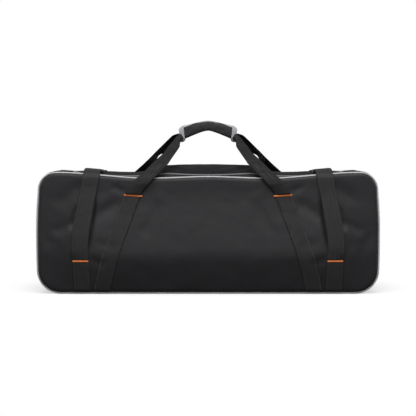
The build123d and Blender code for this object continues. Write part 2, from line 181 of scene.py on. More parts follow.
def groove(x, z, start, end, width):
    """1 along a line from start to end, fading to 0 across its width and at its ends."""
    start, end = np.array(start, float), np.array(end, float)
    run = end - start
    length = np.linalg.norm(run)
    along = ((x - start[0]) * run[0] + (z - start[1]) * run[1]) / length
    across = ((x - start[0]) * run[1] - (z - start[1]) * run[0]) / length
    begun = smooth(along, -0.25 * length, 0.25 * length)
    ended = smooth(along, 0.75 * length, 1.25 * length)
    return np.exp(-(across / width) ** 2) * (begun * (1 - ended))


# ---- the swelled front and back ----------------------------------------------------------
EDGE_LIFT = 5.6       # how far the panel stands in front of its seam, just inside the piping
BELLY = 18.5          # how far the slack cloth bags out above the crease
# creases of the left half: start, end, width, depth (minus is a valley)
FOLDS = [
    ((-264, 168), (-200, 214), 14, -3.0),
    ((-250, 204), (-208, 234), 13, 0.7),
    ((-345, 142), (-296, 164), 12, -2.0),
    ((-345, 122), (-296, 138), 12, 0.5),
    ((-336, 206), (-282, 250), 15, -1.8),
    ((-352, 238), (-310, 262), 14, 0.6),
    ((-384, 136), (-345, 112), 14, -1.1),
    ((-214, 250), (-184, 236), 9, -1.6),
    ((-112, 206), (-146, 136), 13, -1.6),
    ((-120, 228), (-96, 231), 15, 1.1),
    ((-246, 118), (-206, 106), 11, -1.2),
    ((-268, 82), (-232, 66), 10, -1.8),
    ((-255, 208), (-270, 106), 5, -6.0),       # drawn in along the edges of the closure strap
    ((-296, 194), (-303, 152), 5, -4.0),
]


def ramp(distance, softness):
    """Distance where it is above 0 and 0 below, with a soft corner."""
    return (distance + np.sqrt(distance ** 2 + softness ** 2)) / 2


def belly(z):
    """Share of the bagging at a height: none down to the tack line, then growing to the crease."""
    growth, return_rate = 1 / (TACK_Z - CREASE_Z), 1 / CREASE_Z
    return growth * ramp(TACK_Z - z, 16) - (growth + return_rate) * ramp(CREASE_Z - z, 15)


def edge_distance(x, z, shape):
    """Distance inside the plain rounded rectangle."""
    radius = np.where(z > shape[0] / 2, TOP_R, BOTTOM_R)
    dx = np.abs(x) - (WAIST - radius)
    dz = np.abs(z - shape[0] / 2) - (shape[0] / 2 - radius)
    outside = np.hypot(np.maximum(dx, 0), np.maximum(dz, 0))
    return radius - outside - np.minimum(np.maximum(dx, dz), 0)


def edge_roll(inside, reach):
    """Quarter-round edge: 0 at the seam, 1 at its reach."""
    return np.sqrt(np.clip(1 - (1 - np.clip(inside / reach, 0, 1)) ** 2, 0, 1))


def front_lift(x, z):
    """How far the front stands in front of its seam."""
    inside = edge_distance(x, z, LID)
    middle = 1 - 0.78 * smooth(np.abs(x), 235, 388)
    lift = EDGE_LIFT * edge_roll(inside - 2.8, 8)
    lift = lift + BELLY * belly(z) * middle * edge_roll(inside + 2, 24)
    mirrored = -np.abs(x)
    near_edge = smooth(inside, 2, 26)
    for start, end, width, depth in FOLDS:
        lift = lift + depth * groove(mirrored, z, start, end, width) * near_edge
    slack = 0.6 * waves(x, z, 11, 130) + 0.22 * waves(x, z, 12, 38)
    return lift + slack * near_edge


def back_lift(x, z):
    inside = edge_distance(x, z, BODY)
    roll = 1 - np.clip(1 - inside / 14.0, 0, 1) ** 2.2
    middle = 1 - 0.55 * smooth(np.abs(x), 230, 384)
    height = np.clip(z / BODY[0], 0, 1)
    fullness = np.sin(math.pi * height) ** 0.8
    lift = EDGE_LIFT * smooth(inside, -2, 7) + 9.0 * fullness * middle * roll
    slack = 1.3 * waves(x, z, 21, 150) + 0.45 * waves(x, z, 22, 40)
    return lift + slack * smooth(inside, 2, 26)


def front_y(x, z):
    return -(SEAM_Y + front_lift(x, z))


def back_y(x, z):
    return BACK_Y + back_lift(x, z)


# ---- the top -----------------------------------------------------------------------------
CREST, CREST_REACH, CREST_FOOT = 291.6, 96.0, 168.0


def top_crown(x):
    """Highest line of the top panel: a low ridge between the handles."""
    reach = np.abs(x)
    flat = CREST - 2.2 * (reach / CREST_REACH) ** 2
    shoulder = 273.6 + 1.6 * np.exp(-((reach - 235) / 25) ** 2) + 3.4 * smooth(reach, 225, 330)
    foot = smooth(reach, CREST_REACH - 8, CREST_FOOT)
    return np.where(reach < CREST_FOOT, flat * (1 - foot) + shoulder * foot, shoulder)


def top_z(x, y, edge):
    """Height of the top panel over its seams."""
    middle, half = (BACK_Y - RIM_Y) / 2, (BACK_Y + RIM_Y) / 2
    across = np.clip(1 - ((y - middle) / half) ** 2, 0, 1)
    crown = np.maximum(top_crown(x) - edge, 0.6)
    height = edge + crown * across ** 0.75
    crest = np.clip((across - 0.86) / 0.14, 0, 1)
    pucker = (0.9 * waves(x, y, 31, 60) + 0.5 * waves(x, y, 32, 24)) * (1 - 0.7 * crest)
    hump = 1 - smooth(np.abs(x), 150, 200)
    dents = (
        -3.2 * groove(-np.abs(x), y, (-116, -10), (-66, -62), 8)
        - 2.2 * groove(-np.abs(x), y, (-82, 5), (-36, -40), 9)
        + 1.4 * groove(-np.abs(x), y, (-98, 0), (-52, -52), 8)
        - 1.6 * groove(-np.abs(x), y, (-30, -50), (4, -66), 9)
    )
    return height + (pucker * (0.4 + 0.6 * hump) + dents * hump) * np.clip(across * 1.4, 0, 1)


# ---- making meshes -----------------------------------------------------------------------
def corner_vertices(mesh):
    """Vertex of each face corner."""
    vertices = np.zeros(len(mesh.loops), np.int32)
    mesh.loops.foreach_get("vertex_index", vertices)
    return vertices


def mesh_piece(name, points, faces, uv=None):
    mesh = bpy.data.meshes.new(name)
    mesh.from_pydata((np.asarray(points) * 0.001).tolist(), [], faces)
    if uv is not None:
        of_corner = np.asarray(uv)[corner_vertices(mesh)] * 0.001
        mesh.uv_layers.new(name="UVMap").data.foreach_set("uv", of_corner.ravel())
    work = bmesh.new()
    work.from_mesh(mesh)
    bmesh.ops.recalc_face_normals(work, faces=work.faces)
    work.to_mesh(mesh)
    work.free()
    mesh.polygons.foreach_set("use_smooth", [True] * len(mesh.polygons))
    piece = bpy.data.objects.new(name, mesh)
    bpy.context.scene.collection.objects.link(piece)
    return piece


def grid_faces(rows, cols, wrap_rows=False, wrap_cols=False, start=0):
    faces = []
    for i in range(rows if wrap_rows else rows - 1):
        for j in range(cols if wrap_cols else cols - 1):
            this, after = start + i * cols, start + (i + 1) % rows * cols
            following = (j + 1) % cols
            faces.append((this + j, this + following, after + following, after + j))
    return faces


def grid_normals(grid, wrap_rows=False):
    if wrap_rows:
        down = np.roll(grid, -1, 0) - np.roll(grid, 1, 0)
    else:
        down = np.gradient(grid, axis=0)
    normal = np.cross(down, np.gradient(grid, axis=1))
    return normal / np.maximum(np.linalg.norm(normal, axis=2), 1e-9)[..., None]


def in_order(chosen):
    """Indices of the chosen points of a closed path as one run, also where it crosses the start."""
    order = np.arange(len(chosen))
    if chosen[0] and chosen[-1]:
        order = np.roll(order, -int(np.where(~chosen)[0][-1]) - 1)
    return order[chosen[order]]


def run_lengths(grid, axis):
    steps = np.linalg.norm(np.diff(grid, axis=axis), axis=2)
    zero = np.zeros((1, grid.shape[1])) if axis == 0 else np.zeros((grid.shape[0], 1))
    return np.concatenate([zero, np.cumsum(steps, axis=axis)], axis=axis)


def cloth_uv(grid):
    """Lengths along the middle row and the middle column."""
    rows, cols = grid.shape[:2]
    return np.stack(np.broadcast_arrays(
        run_lengths(grid[rows // 2][None], 1), run_lengths(grid[:, cols // 2][:, None], 0)), axis=2)


def closed_sheet(name, outer, inner, uv, wrap_rows=False):
    """Closed piece between two matching grids of points."""
    rows, cols = outer.shape[:2]
    count = rows * cols
    faces = grid_faces(rows, cols, wrap_rows)
    faces += [face[::-1] for face in grid_faces(rows, cols, wrap_rows, start=count)]
    left = [i * cols for i in range(rows)] + ([0] if wrap_rows else [])
    rims = [left, [i + cols - 1 for i in left][::-1]]
    if not wrap_rows:
        first = list(range(cols))
        rims += [first[::-1], [i + (rows - 1) * cols for i in first]]
    for line in rims:
        faces += [(a, b, b + count, a + count) for a, b in zip(line, line[1:])]
    points = np.vstack([outer.reshape(-1, 3), inner.reshape(-1, 3)])
    return mesh_piece(name, points, faces, np.vstack([uv.reshape(-1, 2)] * 2))


def cloth_piece(name, grid, thickness, wrap_rows=False, side=1.0, uv=None):
    """A grid of points thickened into closed cloth; side says where the thickness goes."""
    normal = grid_normals(grid, wrap_rows) * side
    uv = cloth_uv(grid) if uv is None else uv
    return closed_sheet(name, grid, grid - normal * thickness, uv, wrap_rows)


def thick_webbing(name, grid, thickness):
    """Webbing from a grid of its middle surface, thinner at its woven edges."""
    share = np.linspace(-1, 1, grid.shape[1])[None, :, None]
    half = grid_normals(grid) * (thickness / 2 * (1 - 0.45 * share ** 8))
    return closed_sheet(name, grid + half, grid - half, cloth_uv(grid))


def soften(points, spacing, width):
    """Even points along a broken line whose corners are rounded over a width."""
    points = np.asarray(points, float)
    steps = np.linalg.norm(np.diff(points[:, :3], axis=0), axis=1)
    at = np.concatenate([[0], np.cumsum(steps)])
    count = max(3, int(round(at[-1] / spacing)) + 1)
    even = np.linspace(0, at[-1], count)
    line = np.column_stack([np.interp(even, at, points[:, k]) for k in range(points.shape[1])])
    reach = int(round(3 * width / (at[-1] / (count - 1))))
    if reach < 1:
        return line
    start = 2 * line[0] - line[1:reach + 1][::-1]
    end = 2 * line[-1] - line[-reach - 1:-1][::-1]
    padded = np.vstack([start, line, end])
    kernel = np.exp(-0.5 * (np.arange(-reach, reach + 1) / (reach / 3)) ** 2)
    kernel /= kernel.sum()
    return np.column_stack([np.convolve(column, kernel, "valid") for column in padded.T])


def tube_piece(name, path, radius, sides=12):
    """Round cord along a closed path, with a radius for each of its points."""
    run = np.roll(path, -1, 0) - np.roll(path, 1, 0)
    run /= np.linalg.norm(run, axis=1)[:, None]
    side = np.cross(run, np.array([0.0, 1.0, 0.0]))
    side /= np.linalg.norm(side, axis=1)[:, None]
    other = np.cross(side, run)
    turn = np.arange(sides) * 2 * math.pi / sides
    cosine, sine = np.cos(turn)[None, :, None], np.sin(turn)[None, :, None]
    ring = cosine * side[:, None] + sine * other[:, None]
    grid = path[:, None] + radius[:, None, None] * ring
    along = run_lengths(path[:, None], 0)
    uv = np.stack(np.broadcast_arrays(turn[None] * radius.mean(), along), axis=2).reshape(-1, 2)
    faces = grid_faces(len(path), sides, True, True)
    return mesh_piece(name, grid.reshape(-1, 3), faces, uv)


def threads_piece(name, starts, ends, normals, radius, flatten=0.75):
    """Short thread ends lying on cloth: one six-sided barrel for each stitch."""
    starts, ends, normals = (np.asarray(v, float) for v in (starts, ends, normals))
    run = ends - starts
    length = np.linalg.norm(run, axis=1)[:, None]
    run = run / length
    side = np.cross(run, normals)
    side /= np.linalg.norm(side, axis=1)[:, None]
    up = np.cross(side, run)
    # place along the stitch, share of its radius, height of its middle
    profile = [
        (0.0, 0.35, -0.5), (0.12, 0.85, 0.1), (0.5, 1.0, 0.3), (0.88, 0.85, 0.1), (1.0, 0.35, -0.5),
    ]
    points = []
    for at, size, rise in profile:
        centre = starts + run * length * at + up * radius * rise
        for k in range(6):
            turn = k * math.pi / 3
            spoke = math.cos(turn) * side + flatten * math.sin(turn) * up
            points.append(centre + size * radius * spoke)
    points = np.stack(points, axis=1).reshape(-1, 3)
    one = grid_faces(len(profile), 6, False, True)
    last = (len(profile) - 1) * 6
    one += [tuple(range(6))[::-1], tuple(range(last, last + 6))]
    each = len(profile) * 6
    faces = [tuple(k + i * each for k in face) for i in range(len(starts)) for face in one]
    return mesh_piece(name, points, faces)


# ---- materials ---------------------------------------------------------------------------
def rgb(code):
    """sRGB hex to linear."""
    channels = [int(code[k:k + 2], 16) / 255 for k in (1, 3, 5)]
    linear = [c / 12.92 if c <= 0.04045 else ((c + 0.055) / 1.055) ** 2.4 for c in channels]
    return (*linear, 1.0)


def put(tree, kind, settings=None, sockets=None):
    """Adds a node with its settings; a socket takes a value, an output or a node's first output."""
    node = tree.nodes.new("ShaderNode" + kind)
    for key, value in (settings or {}).items():
        setattr(node, key, value)
    for key, value in (sockets or {}).items():
        if isinstance(value, bpy.types.Node):
            value = value.outputs[0]
        if isinstance(value, bpy.types.NodeSocket):
            tree.links.new(value, node.inputs[key])
        else:
            node.inputs[key].default_value = value
    return node


def new_material(name):
    material = bpy.data.materials.new(name)
    material.use_nodes = True
    tree = material.node_tree
    tree.nodes.clear()
    return material, tree


def finish_material(tree, colour, roughness, bump, settings):
    shader = put(tree, "BsdfPrincipled", None, {
        "Base Color": colour, "Roughness": roughness, "Normal": bump, **settings})
    put(tree, "OutputMaterial", None, {"Surface": shader})


def weave_height(tree, pitch_mm, chevron_mm, rib):
    """Threads over and under at a pitch in millimetres, from the piece's own cloth directions."""
    parts = put(tree, "SeparateXYZ", None, {0: put(tree, "UVMap")})
    u, v = parts.outputs[0], parts.outputs[1]
    if chevron_mm:
        zigzag = put(tree, "Math", {"operation": "PINGPONG"}, {0: u, 1: chevron_mm * 0.001})
        v = put(tree, "Math", {"operation": "ADD"}, {0: v, 1: zigzag})
    crests = []
    for direction in (v,) if chevron_mm or rib else (u, v):
        turn = put(tree, "Math", {"operation": "MULTIPLY"}, {
            0: direction, 1: math.pi / (pitch_mm * 0.001)})
        crests.append(put(tree, "Math", {"operation": "SINE"}, {0: turn}))
    if len(crests) == 1:
        return put(tree, "Math", {"operation": "ABSOLUTE"}, {0: crests[0]})
    return put(tree, "Math", {"operation": "MULTIPLY"}, {0: crests[0], 1: crests[1]})


def cloth_material(name, dark, light, pitch_mm, depth_mm, roughness, settings, blotch_mm=60.0,
                   chevron_mm=0.0, rib=False, slub=0.5):
    """Woven cloth: thread relief, slubs between threads and slow patches of wear and dye."""
    material, tree = new_material(name)
    place = put(tree, "TexCoord").outputs["Object"]
    height = weave_height(tree, pitch_mm, chevron_mm, rib)
    blotch = put(tree, "TexNoise", None, {
        "Vector": place, "Scale": 1000 / blotch_mm, "Detail": 3.0, "Roughness": 0.55})
    fleck = put(tree, "TexNoise", None, {
        "Vector": place, "Scale": 1000 / (2.5 * pitch_mm), "Detail": 2.0, "Roughness": 0.6})
    patches = put(tree, "Math", {"operation": "MULTIPLY"}, {0: blotch, 1: 0.6})
    slubs = put(tree, "Math", {"operation": "MULTIPLY"}, {0: fleck, 1: slub})
    # thread crowns painted lighter than the hollows between them: painted shade of the weave, on
    # top of its bump
    crowns = put(tree, "Math", {"operation": "MULTIPLY"}, {0: height, 1: 0.15})
    worn = put(tree, "Math", {"operation": "ADD"}, {0: patches, 1: slubs})
    tone = put(tree, "Math", {"operation": "ADD"}, {0: worn, 1: crowns})
    share = put(tree, "MapRange", None, {0: tone, 3: 0.0, 4: 1.0})
    colour = put(tree, "Mix", {"data_type": "RGBA"}, {0: share, 6: rgb(dark), 7: rgb(light)})
    rough = put(tree, "MapRange", None, {0: blotch, 3: roughness - 0.07, 4: roughness + 0.07})
    relief = put(tree, "Math", {"operation": "ADD"}, {0: height, 1: slubs})
    bump = put(tree, "Bump", None, {
        "Strength": 1.0, "Distance": depth_mm * 0.001, "Height": relief})
    finish_material(tree, colour.outputs[2], rough, bump, settings)
    return material


def gloss(ior, specular, sheen=0.0, sheen_roughness=0.5, sheen_tint="#ffffff"):
    """The shader settings that are the same all over a cloth."""
    return {"IOR": ior, "Specular IOR Level": specular, "Sheen Weight": sheen,
            "Sheen Roughness": sheen_roughness, "Sheen Tint": rgb(sheen_tint)}


# 600-denier polyester oxford, dyed black and coated on its back: a tight plain weave with a
# low silky gloss and a soft sheen at grazing angles. Its threads, about 0.45 mm apart in real
# cloth, are drawn 1.1 mm apart so that they show up close.
SHELL = cloth_material(
    "polyester_oxford_black", "#19191b", "#262629", 1.1, 0.10, 0.47,
    gloss(1.5, 0.32, 0.04, 0.45, "#c8c8d4"),
)
# The same oxford on the top with a duller gloss; its colour is painted darker, as painted shade
# over the top.
SHADED_TOP_SHELL = cloth_material(
    "polyester_oxford_black_painted_shade", "#0b0b0d", "#17171a", 1.1, 0.10, 0.62,
    gloss(1.5, 0.19, 0.03, 0.45), blotch_mm=22,
)
# Polypropylene webbing, woven in a herringbone of thick yarns: matt neutral black.
WEBBING = cloth_material(
    "polypropylene_webbing_black", "#1a1a1a", "#282828", 1.9, 0.22, 0.55,
    gloss(1.49, 0.35, 0.06, 0.4, "#cccccc"), blotch_mm=45, chevron_mm=4.7,
)
# The same webbing on the handle legs, painted darker as painted shade, since the legs' upturned
# faces catch more of the overhead lamp.
SHADED_LEG_WEBBING = cloth_material(
    "polypropylene_webbing_black_painted_shade", "#0f0f0f", "#1a1a1a", 1.9, 0.22, 0.58,
    gloss(1.49, 0.3, 0.04, 0.4, "#cccccc"), blotch_mm=45, chevron_mm=4.7,
)
# Piping: a cord sewn into light grey PVC-coated cloth, smooth with a fine twill.
PIPING = cloth_material(
    "pvc_coated_piping_grey", "#b4b4b6", "#c4c4c6", 0.9, 0.05, 0.42,
    gloss(1.52, 0.5, 0.05), blotch_mm=25, slub=0.3,
)
# The rim's piping, half hidden behind the lid: the same grey piping painted darker, as painted
# shade in the gutter it lies in.
SHADED_RIM_PIPING = cloth_material(
    "pvc_coated_piping_grey_painted_shade", "#5c5c5e", "#6e6e70", 0.9, 0.05, 0.5,
    gloss(1.52, 0.4), blotch_mm=25, slub=0.3,
)
# Grosgrain binding tape in grey polyester, with ribs across it.
BINDING = cloth_material(
    "grosgrain_binding_grey", "#929397", "#a6a7aa", 1.0, 0.05, 0.6,
    gloss(1.5, 0.4, 0.1), blotch_mm=20, rib=True,
)
# The grip's face: the same cloth as the shell but laminated to foam, so it is fuller and duller.
# Its weave is drawn coarser than real too, 1.3 mm.
GRIP = cloth_material(
    "foam_backed_oxford_black", "#1d1d1e", "#2a2a2c", 1.3, 0.14, 0.6,
    gloss(1.5, 0.35, 0.08, 0.5), blotch_mm=30,
)
# Bright polyester embroidery thread, packed side by side: glossy along its fibres.
BARTACK = cloth_material(
    "polyester_thread_orange", "#d9691c", "#f08a3c", 0.5, 0.05, 0.4,
    gloss(1.55, 0.5, 0.15), blotch_mm=6, slub=0.5,
)
# Black sewing thread, bonded nylon: a touch glossier than the cloth it lies on, and painted a touch
# lighter than it as a painted glint.
THREAD = cloth_material(
    "bonded_nylon_thread_black", "#303032", "#47474a", 0.4, 0.03, 0.38,
    gloss(1.53, 0.5), blotch_mm=8,
)
# The same thread dyed jet, half sunk in the webbing and darker than it.
THREAD_BLACK = cloth_material(
    "bonded_nylon_thread_jet", "#0c0c0d", "#161617", 0.4, 0.03, 0.5,
    gloss(1.53, 0.2), blotch_mm=8,
)
# The same thread painted light grey, bright against the webbing: a painted glint along the outer
# edges of the front handle straps.
THREAD_GLINT = cloth_material(
    "bonded_nylon_thread_painted_glint", "#7d7d80", "#98989c", 0.4, 0.03, 0.38,
    gloss(1.53, 0.5), blotch_mm=8,
)
# Brushed 210-denier lining in dark grey: soft, matt, with fine noise from its nap. Its weave is
# drawn much coarser than real, 0.9 mm.
LINING = cloth_material(
    "brushed_polyester_lining_grey", "#4a4b4e", "#5c5d61", 0.9, 0.06, 0.75,
    gloss(1.5, 0.3, 0.35, 0.5), blotch_mm=40,
)
# Woven zip tape: narrow black polyester in a plain weave, matt.
ZIP_TAPE = cloth_material(
    "polyester_zip_tape_black", "#161617", "#222223", 0.8, 0.08, 0.6,
    gloss(1.5, 0.4, 0.1), blotch_mm=30,
)
# Nylon monofilament coil: smooth moulded-looking black plastic.
ZIP_COIL = cloth_material(
    "nylon_monofilament_black", "#131314", "#1e1e20", 0.6, 0.02, 0.33,
    gloss(1.53, 0.5), blotch_mm=12,
)
# Hook-and-loop tape: a pile of fine nylon loops, matt and slightly furry.
HOOK_LOOP = cloth_material(
    "nylon_hook_and_loop_black", "#19191a", "#2c2c2e", 1.2, 0.35, 0.8,
    gloss(1.53, 0.3, 0.4, 0.6), blotch_mm=5, slub=1.0,
)


def lacquer_material():
    """Die-cast zinc with baked black lacquer: hard gloss, slightly worn and speckled."""
    material, tree = new_material("zinc_black_lacquer")
    place = put(tree, "TexCoord").outputs["Object"]
    speck = put(tree, "TexNoise", None, {
        "Vector": place, "Scale": 1000 / 3.0, "Detail": 3.0, "Roughness": 0.6})
    share = put(tree, "MapRange", None, {0: speck, 3: 0.0, 4: 1.0})
    colour = put(tree, "Mix", {"data_type": "RGBA"}, {
        0: share, 6: rgb("#111112"), 7: rgb("#242426")})
    rough = put(tree, "MapRange", None, {0: speck, 3: 0.2, 4: 0.34})
    bump = put(tree, "Bump", None, {"Strength": 0.4, "Distance": 0.00005, "Height": speck})
    finish_material(tree, colour.outputs[2], rough, bump, {
        "IOR": 1.5, "Coat Weight": 0.6, "Coat Roughness": 0.12})
    return material


LACQUER = lacquer_material()
SLOT_MATERIAL = {
    "shell_fabric": SHELL, "webbing": WEBBING, "piping": PIPING, "binding": BINDING,
    "grip_fabric": GRIP, "bartack_thread": BARTACK, "padding": LINING, "lining_fabric": LINING,
    "stiffener": LINING, "zip_tape": ZIP_TAPE, "zip_coil": ZIP_COIL, "zip_metal": LACQUER,
    "hook_and_loop": HOOK_LOOP,
}


def dress(piece, slot, body=None, replaces=(), material=None):
    """Gives a piece its finish, its body and the nodes that it stands for."""
    piece.data.materials.clear()
    piece.data.materials.append(material or SLOT_MATERIAL[slot])
    if replaces:
        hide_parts(*replaces)
    if body:
        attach(piece, body)
    return piece


# ---- front and back panels ---------------------------------------------------------------
def panel_grid(shape, inset, depth):
    """Points of a panel in rows, closer together round the corners."""
    low, high = inset, shape[0] - inset
    bottom_r, top_r = BOTTOM_R - inset, TOP_R - inset
    turn = np.linspace(0, math.pi / 2, 13)
    lower = low + bottom_r * (1 - np.cos(turn))
    upper = high - top_r * (1 - np.cos(turn[::-1]))
    count = int(round((upper[0] - lower[-1]) / PITCH))
    middle = np.linspace(lower[-1], upper[0], count + 1)[1:-1]
    rows = np.concatenate([lower, middle, upper])
    half = np.full(len(rows), WAIST - inset)
    half[:13] -= bottom_r * (1 - np.sin(turn))
    half[-13:] -= top_r * (1 - np.sin(turn[::-1]))
    cols = int(round(2 * WAIST / PITCH))
    share = np.linspace(-1, 1, cols + 1)
    share = 0.75 * share + 0.25 * np.sin(share * math.pi / 2)
    plain_x = share[None] * half[:, None]
    plain_z = np.broadcast_to(rows[:, None], plain_x.shape)
    x, z = warp(plain_x, plain_z, shape)
    return np.stack([x, depth(plain_x, plain_z), z], axis=2), np.stack([plain_x, plain_z], axis=2)


PANEL_IN = 4.4                                 # the panels start inside their piping
SHELL_T, BASE_T = 1.6, 1.2                     # cloth with its backing
grid, flat = panel_grid(LID, PANEL_IN, front_y)
lid_face = cloth_piece("lid_face", grid, SHELL_T, side=-1.0, uv=flat)
dress(lid_face, "shell_fabric", "front_lid", ("front_panel", "foam_front"))

grid, flat = panel_grid(BODY, PANEL_IN, back_y)
back_face = cloth_piece("back_face", grid, SHELL_T, side=1.0, uv=flat)
dress(back_face, "shell_fabric", "case_body", ("back_panel", "foam_back"))


# ---- piping ------------------------------------------------------------------------------
def piping_path(shape, y):
    path = loop_points(PIPE_R, shape, 3.0)
    length = run_lengths(path[:, None], 0)[:, 0]
    rng = np.random.default_rng(5)
    wobble = sum(
        0.22 * np.sin(2 * math.pi * k * length / length[-1] + rng.uniform(0, 6.28))
        for k in (9, 17, 31, 47)
    )
    return np.column_stack([path[:, 0], np.full(len(path), y) + wobble * 0.6, path[:, 1]])


for node, shape, y in (
    ("front_piping", LID, -SEAM_Y), ("rim_piping", BODY, -RIM_Y), ("back_piping", BODY, BACK_Y),
):
    path = piping_path(shape, y)
    if node == "rim_piping":       # drawn down into its seam outside the handles
        sunk = smooth(np.abs(path[:, 0]), 102, 122) * (path[:, 2] > 200)
        path[:, 2] -= 2.8 * sunk
        path[:, 1] += 1.4 * sunk
    radius = PIPE_R + 0.05 - 0.45 * smooth(path[:, 2], 200, 240) * (node == "front_piping")
    cord = tube_piece(node + "_cord", path, radius)
    # the rim's piping is painted darker: painted shade
    shade = SHADED_RIM_PIPING if node == "rim_piping" else PIPING
    dress(cord, "piping", body_of_node[node], (node,), shade)


# ---- top, ends and base ------------------------------------------------------------------
END_SEAM = box_mm("top_panel")[1][0]
WALL_IN = 2.6                                  # the walls lie just inside the piping


def wall_shares(count):
    """Shares of the way from the rim to the back seam, closer together at both, and their y."""
    across = np.concatenate([[0, 0.008, 0.02], np.linspace(0.04, 0.96, count), [0.98, 0.992, 1]])
    return across, -RIM_Y + 1.2 + across * (BACK_Y + RIM_Y - 2.4)


def wall_grid(select, extra):
    """Points of the wall between the rim and the back seam, over part of the outline."""
    path = loop_points(WALL_IN, BODY)
    normal = outward(path)
    keep = select(path)
    order = in_order(keep)
    path, normal = path[order], normal[order]
    across, y = wall_shares(38)
    lift = extra(path[:, None, 0], path[:, None, 1], y[None], across[None])
    tuck = -1.6 * (1 - smooth(np.minimum(across, 1 - across), 0, 0.03))[None]
    x = path[:, None, 0] + normal[:, None, 0] * (lift + tuck)
    z = path[:, None, 1] + normal[:, None, 1] * (lift + tuck)
    depth = np.broadcast_to(y[None], x.shape)
    return np.stack([x, depth, z], axis=2)


def end_lift(x, z, y, across):
    roll = np.sin(math.pi * np.clip(across, 0, 1)) ** 0.6
    height = np.clip(z / BODY[0], 0, 1)
    side = smooth(np.abs(x), 322, 380) * smooth(z, 6, 60)
    slack = 1.4 * waves(y + np.sign(x) * 300, z, 41, 110) + 0.5 * waves(y - x, z, 42, 34)
    full = 5.5 * np.sin(math.pi * height) ** 0.7 * side
    above = smooth(z, 2, 40)
    return roll * (full + slack * above * (0.3 + 0.7 * side))


def base_lift(x, z, y, across):
    return np.zeros(np.broadcast_shapes(x.shape, y.shape))


for side, sign in SIDES.items():
    grid = wall_grid(lambda path: (path[:, 0] * sign > END_SEAM - 4), end_lift)
    end = cloth_piece("end_wall_" + side, grid, SHELL_T)
    dress(end, "shell_fabric", "case_body", ("end_panel_" + side, "foam_end_" + side))

grid = wall_grid(lambda path: (np.abs(path[:, 0]) < END_SEAM + 2) & (path[:, 1] < 60), base_lift)
grid[..., 2] = np.maximum(grid[..., 2], 0.0)
base = cloth_piece("base_wall", grid, BASE_T)
dress(base, "shell_fabric", "case_body", ("base_panel", "foam_base", "base_board"))

path = loop_points(WALL_IN, BODY)
path = path[(np.abs(path[:, 0]) < END_SEAM + 2) & (path[:, 1] > 100)]
path = path[np.argsort(path[:, 0])]
across, y = wall_shares(42)
x_grid, y_grid = np.meshgrid(path[:, 0], y, indexing="ij")
edge = np.broadcast_to(path[:, 1][:, None] - 1.6, x_grid.shape)
height = top_z(x_grid, y_grid, edge)
joined = smooth(END_SEAM - np.abs(x_grid), -2, 40)
end_height = edge + 1.6 + end_lift(x_grid, edge, y_grid, across[None]) * 0.5
height = joined * height + (1 - joined) * end_height
top_wall = cloth_piece("top_wall", np.stack([x_grid, y_grid, height], axis=2), SHELL_T)
# the top takes the oxford painted darker: painted shade
dress(top_wall, "shell_fabric", "case_body", ("top_panel", "foam_top"), SHADED_TOP_SHELL)


# ---- webbing sewn to the case ------------------------------------------------------------
WEB, WEB_T, WEB_GAP = 38.0, 1.8, 0.4           # width, thickness and stand-off from the cloth
SEAM = (3.0, 2.4, 1.2, 1.0)                    # in from the edge, stitch, gap, height
# rows of stitches whose grey thread is a painted glint
GLINT_SEAM = (1.6, 2.0, 4.6, 0.95)


def sewn_grid(path, surface, lift, cols=13):
    """Grid of a strap lying on a surface; the path is a list of (x, z)."""
    line = soften(path, 3.5, 9.0)
    share = np.linspace(-1, 1, cols)[None]
    x = line[:, :1] + share * WEB / 2
    z = np.broadcast_to(line[:, 1:], x.shape)
    return np.stack([x, surface(x, z) + lift, z], axis=2)


def edge_stitches(grid, inset, stitch, gap, lift, lines=(0, 1)):
    """Starts, ends and normals of a row of stitches along each edge of a strap."""
    starts, ends, normals = [], [], []
    normal = grid_normals(grid)
    if normal[..., 1].mean() * grid[..., 1].mean() < 0:
        normal = -normal
    cols = grid.shape[1]
    for line in lines:
        at = inset / WEB * (cols - 1)
        column = at if line == 0 else cols - 1 - at
        low = int(column)
        part = column - low
        row = grid[:, low] * (1 - part) + grid[:, min(low + 1, cols - 1)] * part
        up = normal[:, low]
        length = run_lengths(row[:, None], 0)[:, 0]
        first = np.arange(2.0, length[-1] - stitch - 1.0, stitch + gap)
        for where, store in ((first, starts), (first + stitch, ends)):
            store.append(np.column_stack([np.interp(where, length, row[:, k]) for k in range(3)]))
        normals.append(np.column_stack([np.interp(first, length, up[:, k]) for k in range(3)]))
        starts[-1] += normals[-1] * lift
        ends[-1] += normals[-1] * lift
    return np.vstack(starts), np.vstack(ends), np.vstack(normals)


def line_stitches(path, surface, sign, lift, stitch=2.6, gap=1.0):
    """Stitches along a broken line of (x, z) on the front (sign -1) or the back (sign 1)."""
    starts, ends, normals = [], [], []
    for a, b in zip(path, path[1:]):
        a, b = np.array(a, float), np.array(b, float)
        length = np.linalg.norm(b - a)
        first = np.arange(0.4, length - stitch, stitch + gap)
        for at in first:
            p, q = a + (b - a) * at / length, a + (b - a) * (at + stitch) / length
            starts.append([p[0], surface(p[0], p[1]) + sign * lift, p[1]])
            ends.append([q[0], surface(q[0], q[1]) + sign * lift, q[1]])
            normals.append([0, sign, 0])
    return np.array(starts), np.array(ends), np.array(normals)


def bartack_threads(centre, slope, surface, sign, rng, reach):
    """A dense bar across a strap: upright threads side by side."""
    starts, ends, normals = [], [], []
    for x in np.arange(-reach + 0.2, reach - 0.1, 0.62):
        half = 1.9 + rng.uniform(-0.12, 0.12)
        middle = centre[1] + slope * x
        y = surface(centre[0] + x, middle) + sign * (WEB_T + 0.75)
        lean = rng.uniform(-0.12, 0.12)
        starts.append([centre[0] + x - lean, y, middle - half])
        ends.append([centre[0] + x + lean, y, middle + half])
        normals.append([0, sign, 0])
    return np.array(starts), np.array(ends), np.array(normals)


def sewn_strap(name, node, body, path, surface, lift):
    """Lays a strap on the case and returns its grid."""
    grid = sewn_grid(path, surface, lift)
    dress(thick_webbing(name, grid, WEB_T), "webbing", body, (node,))
    return grid


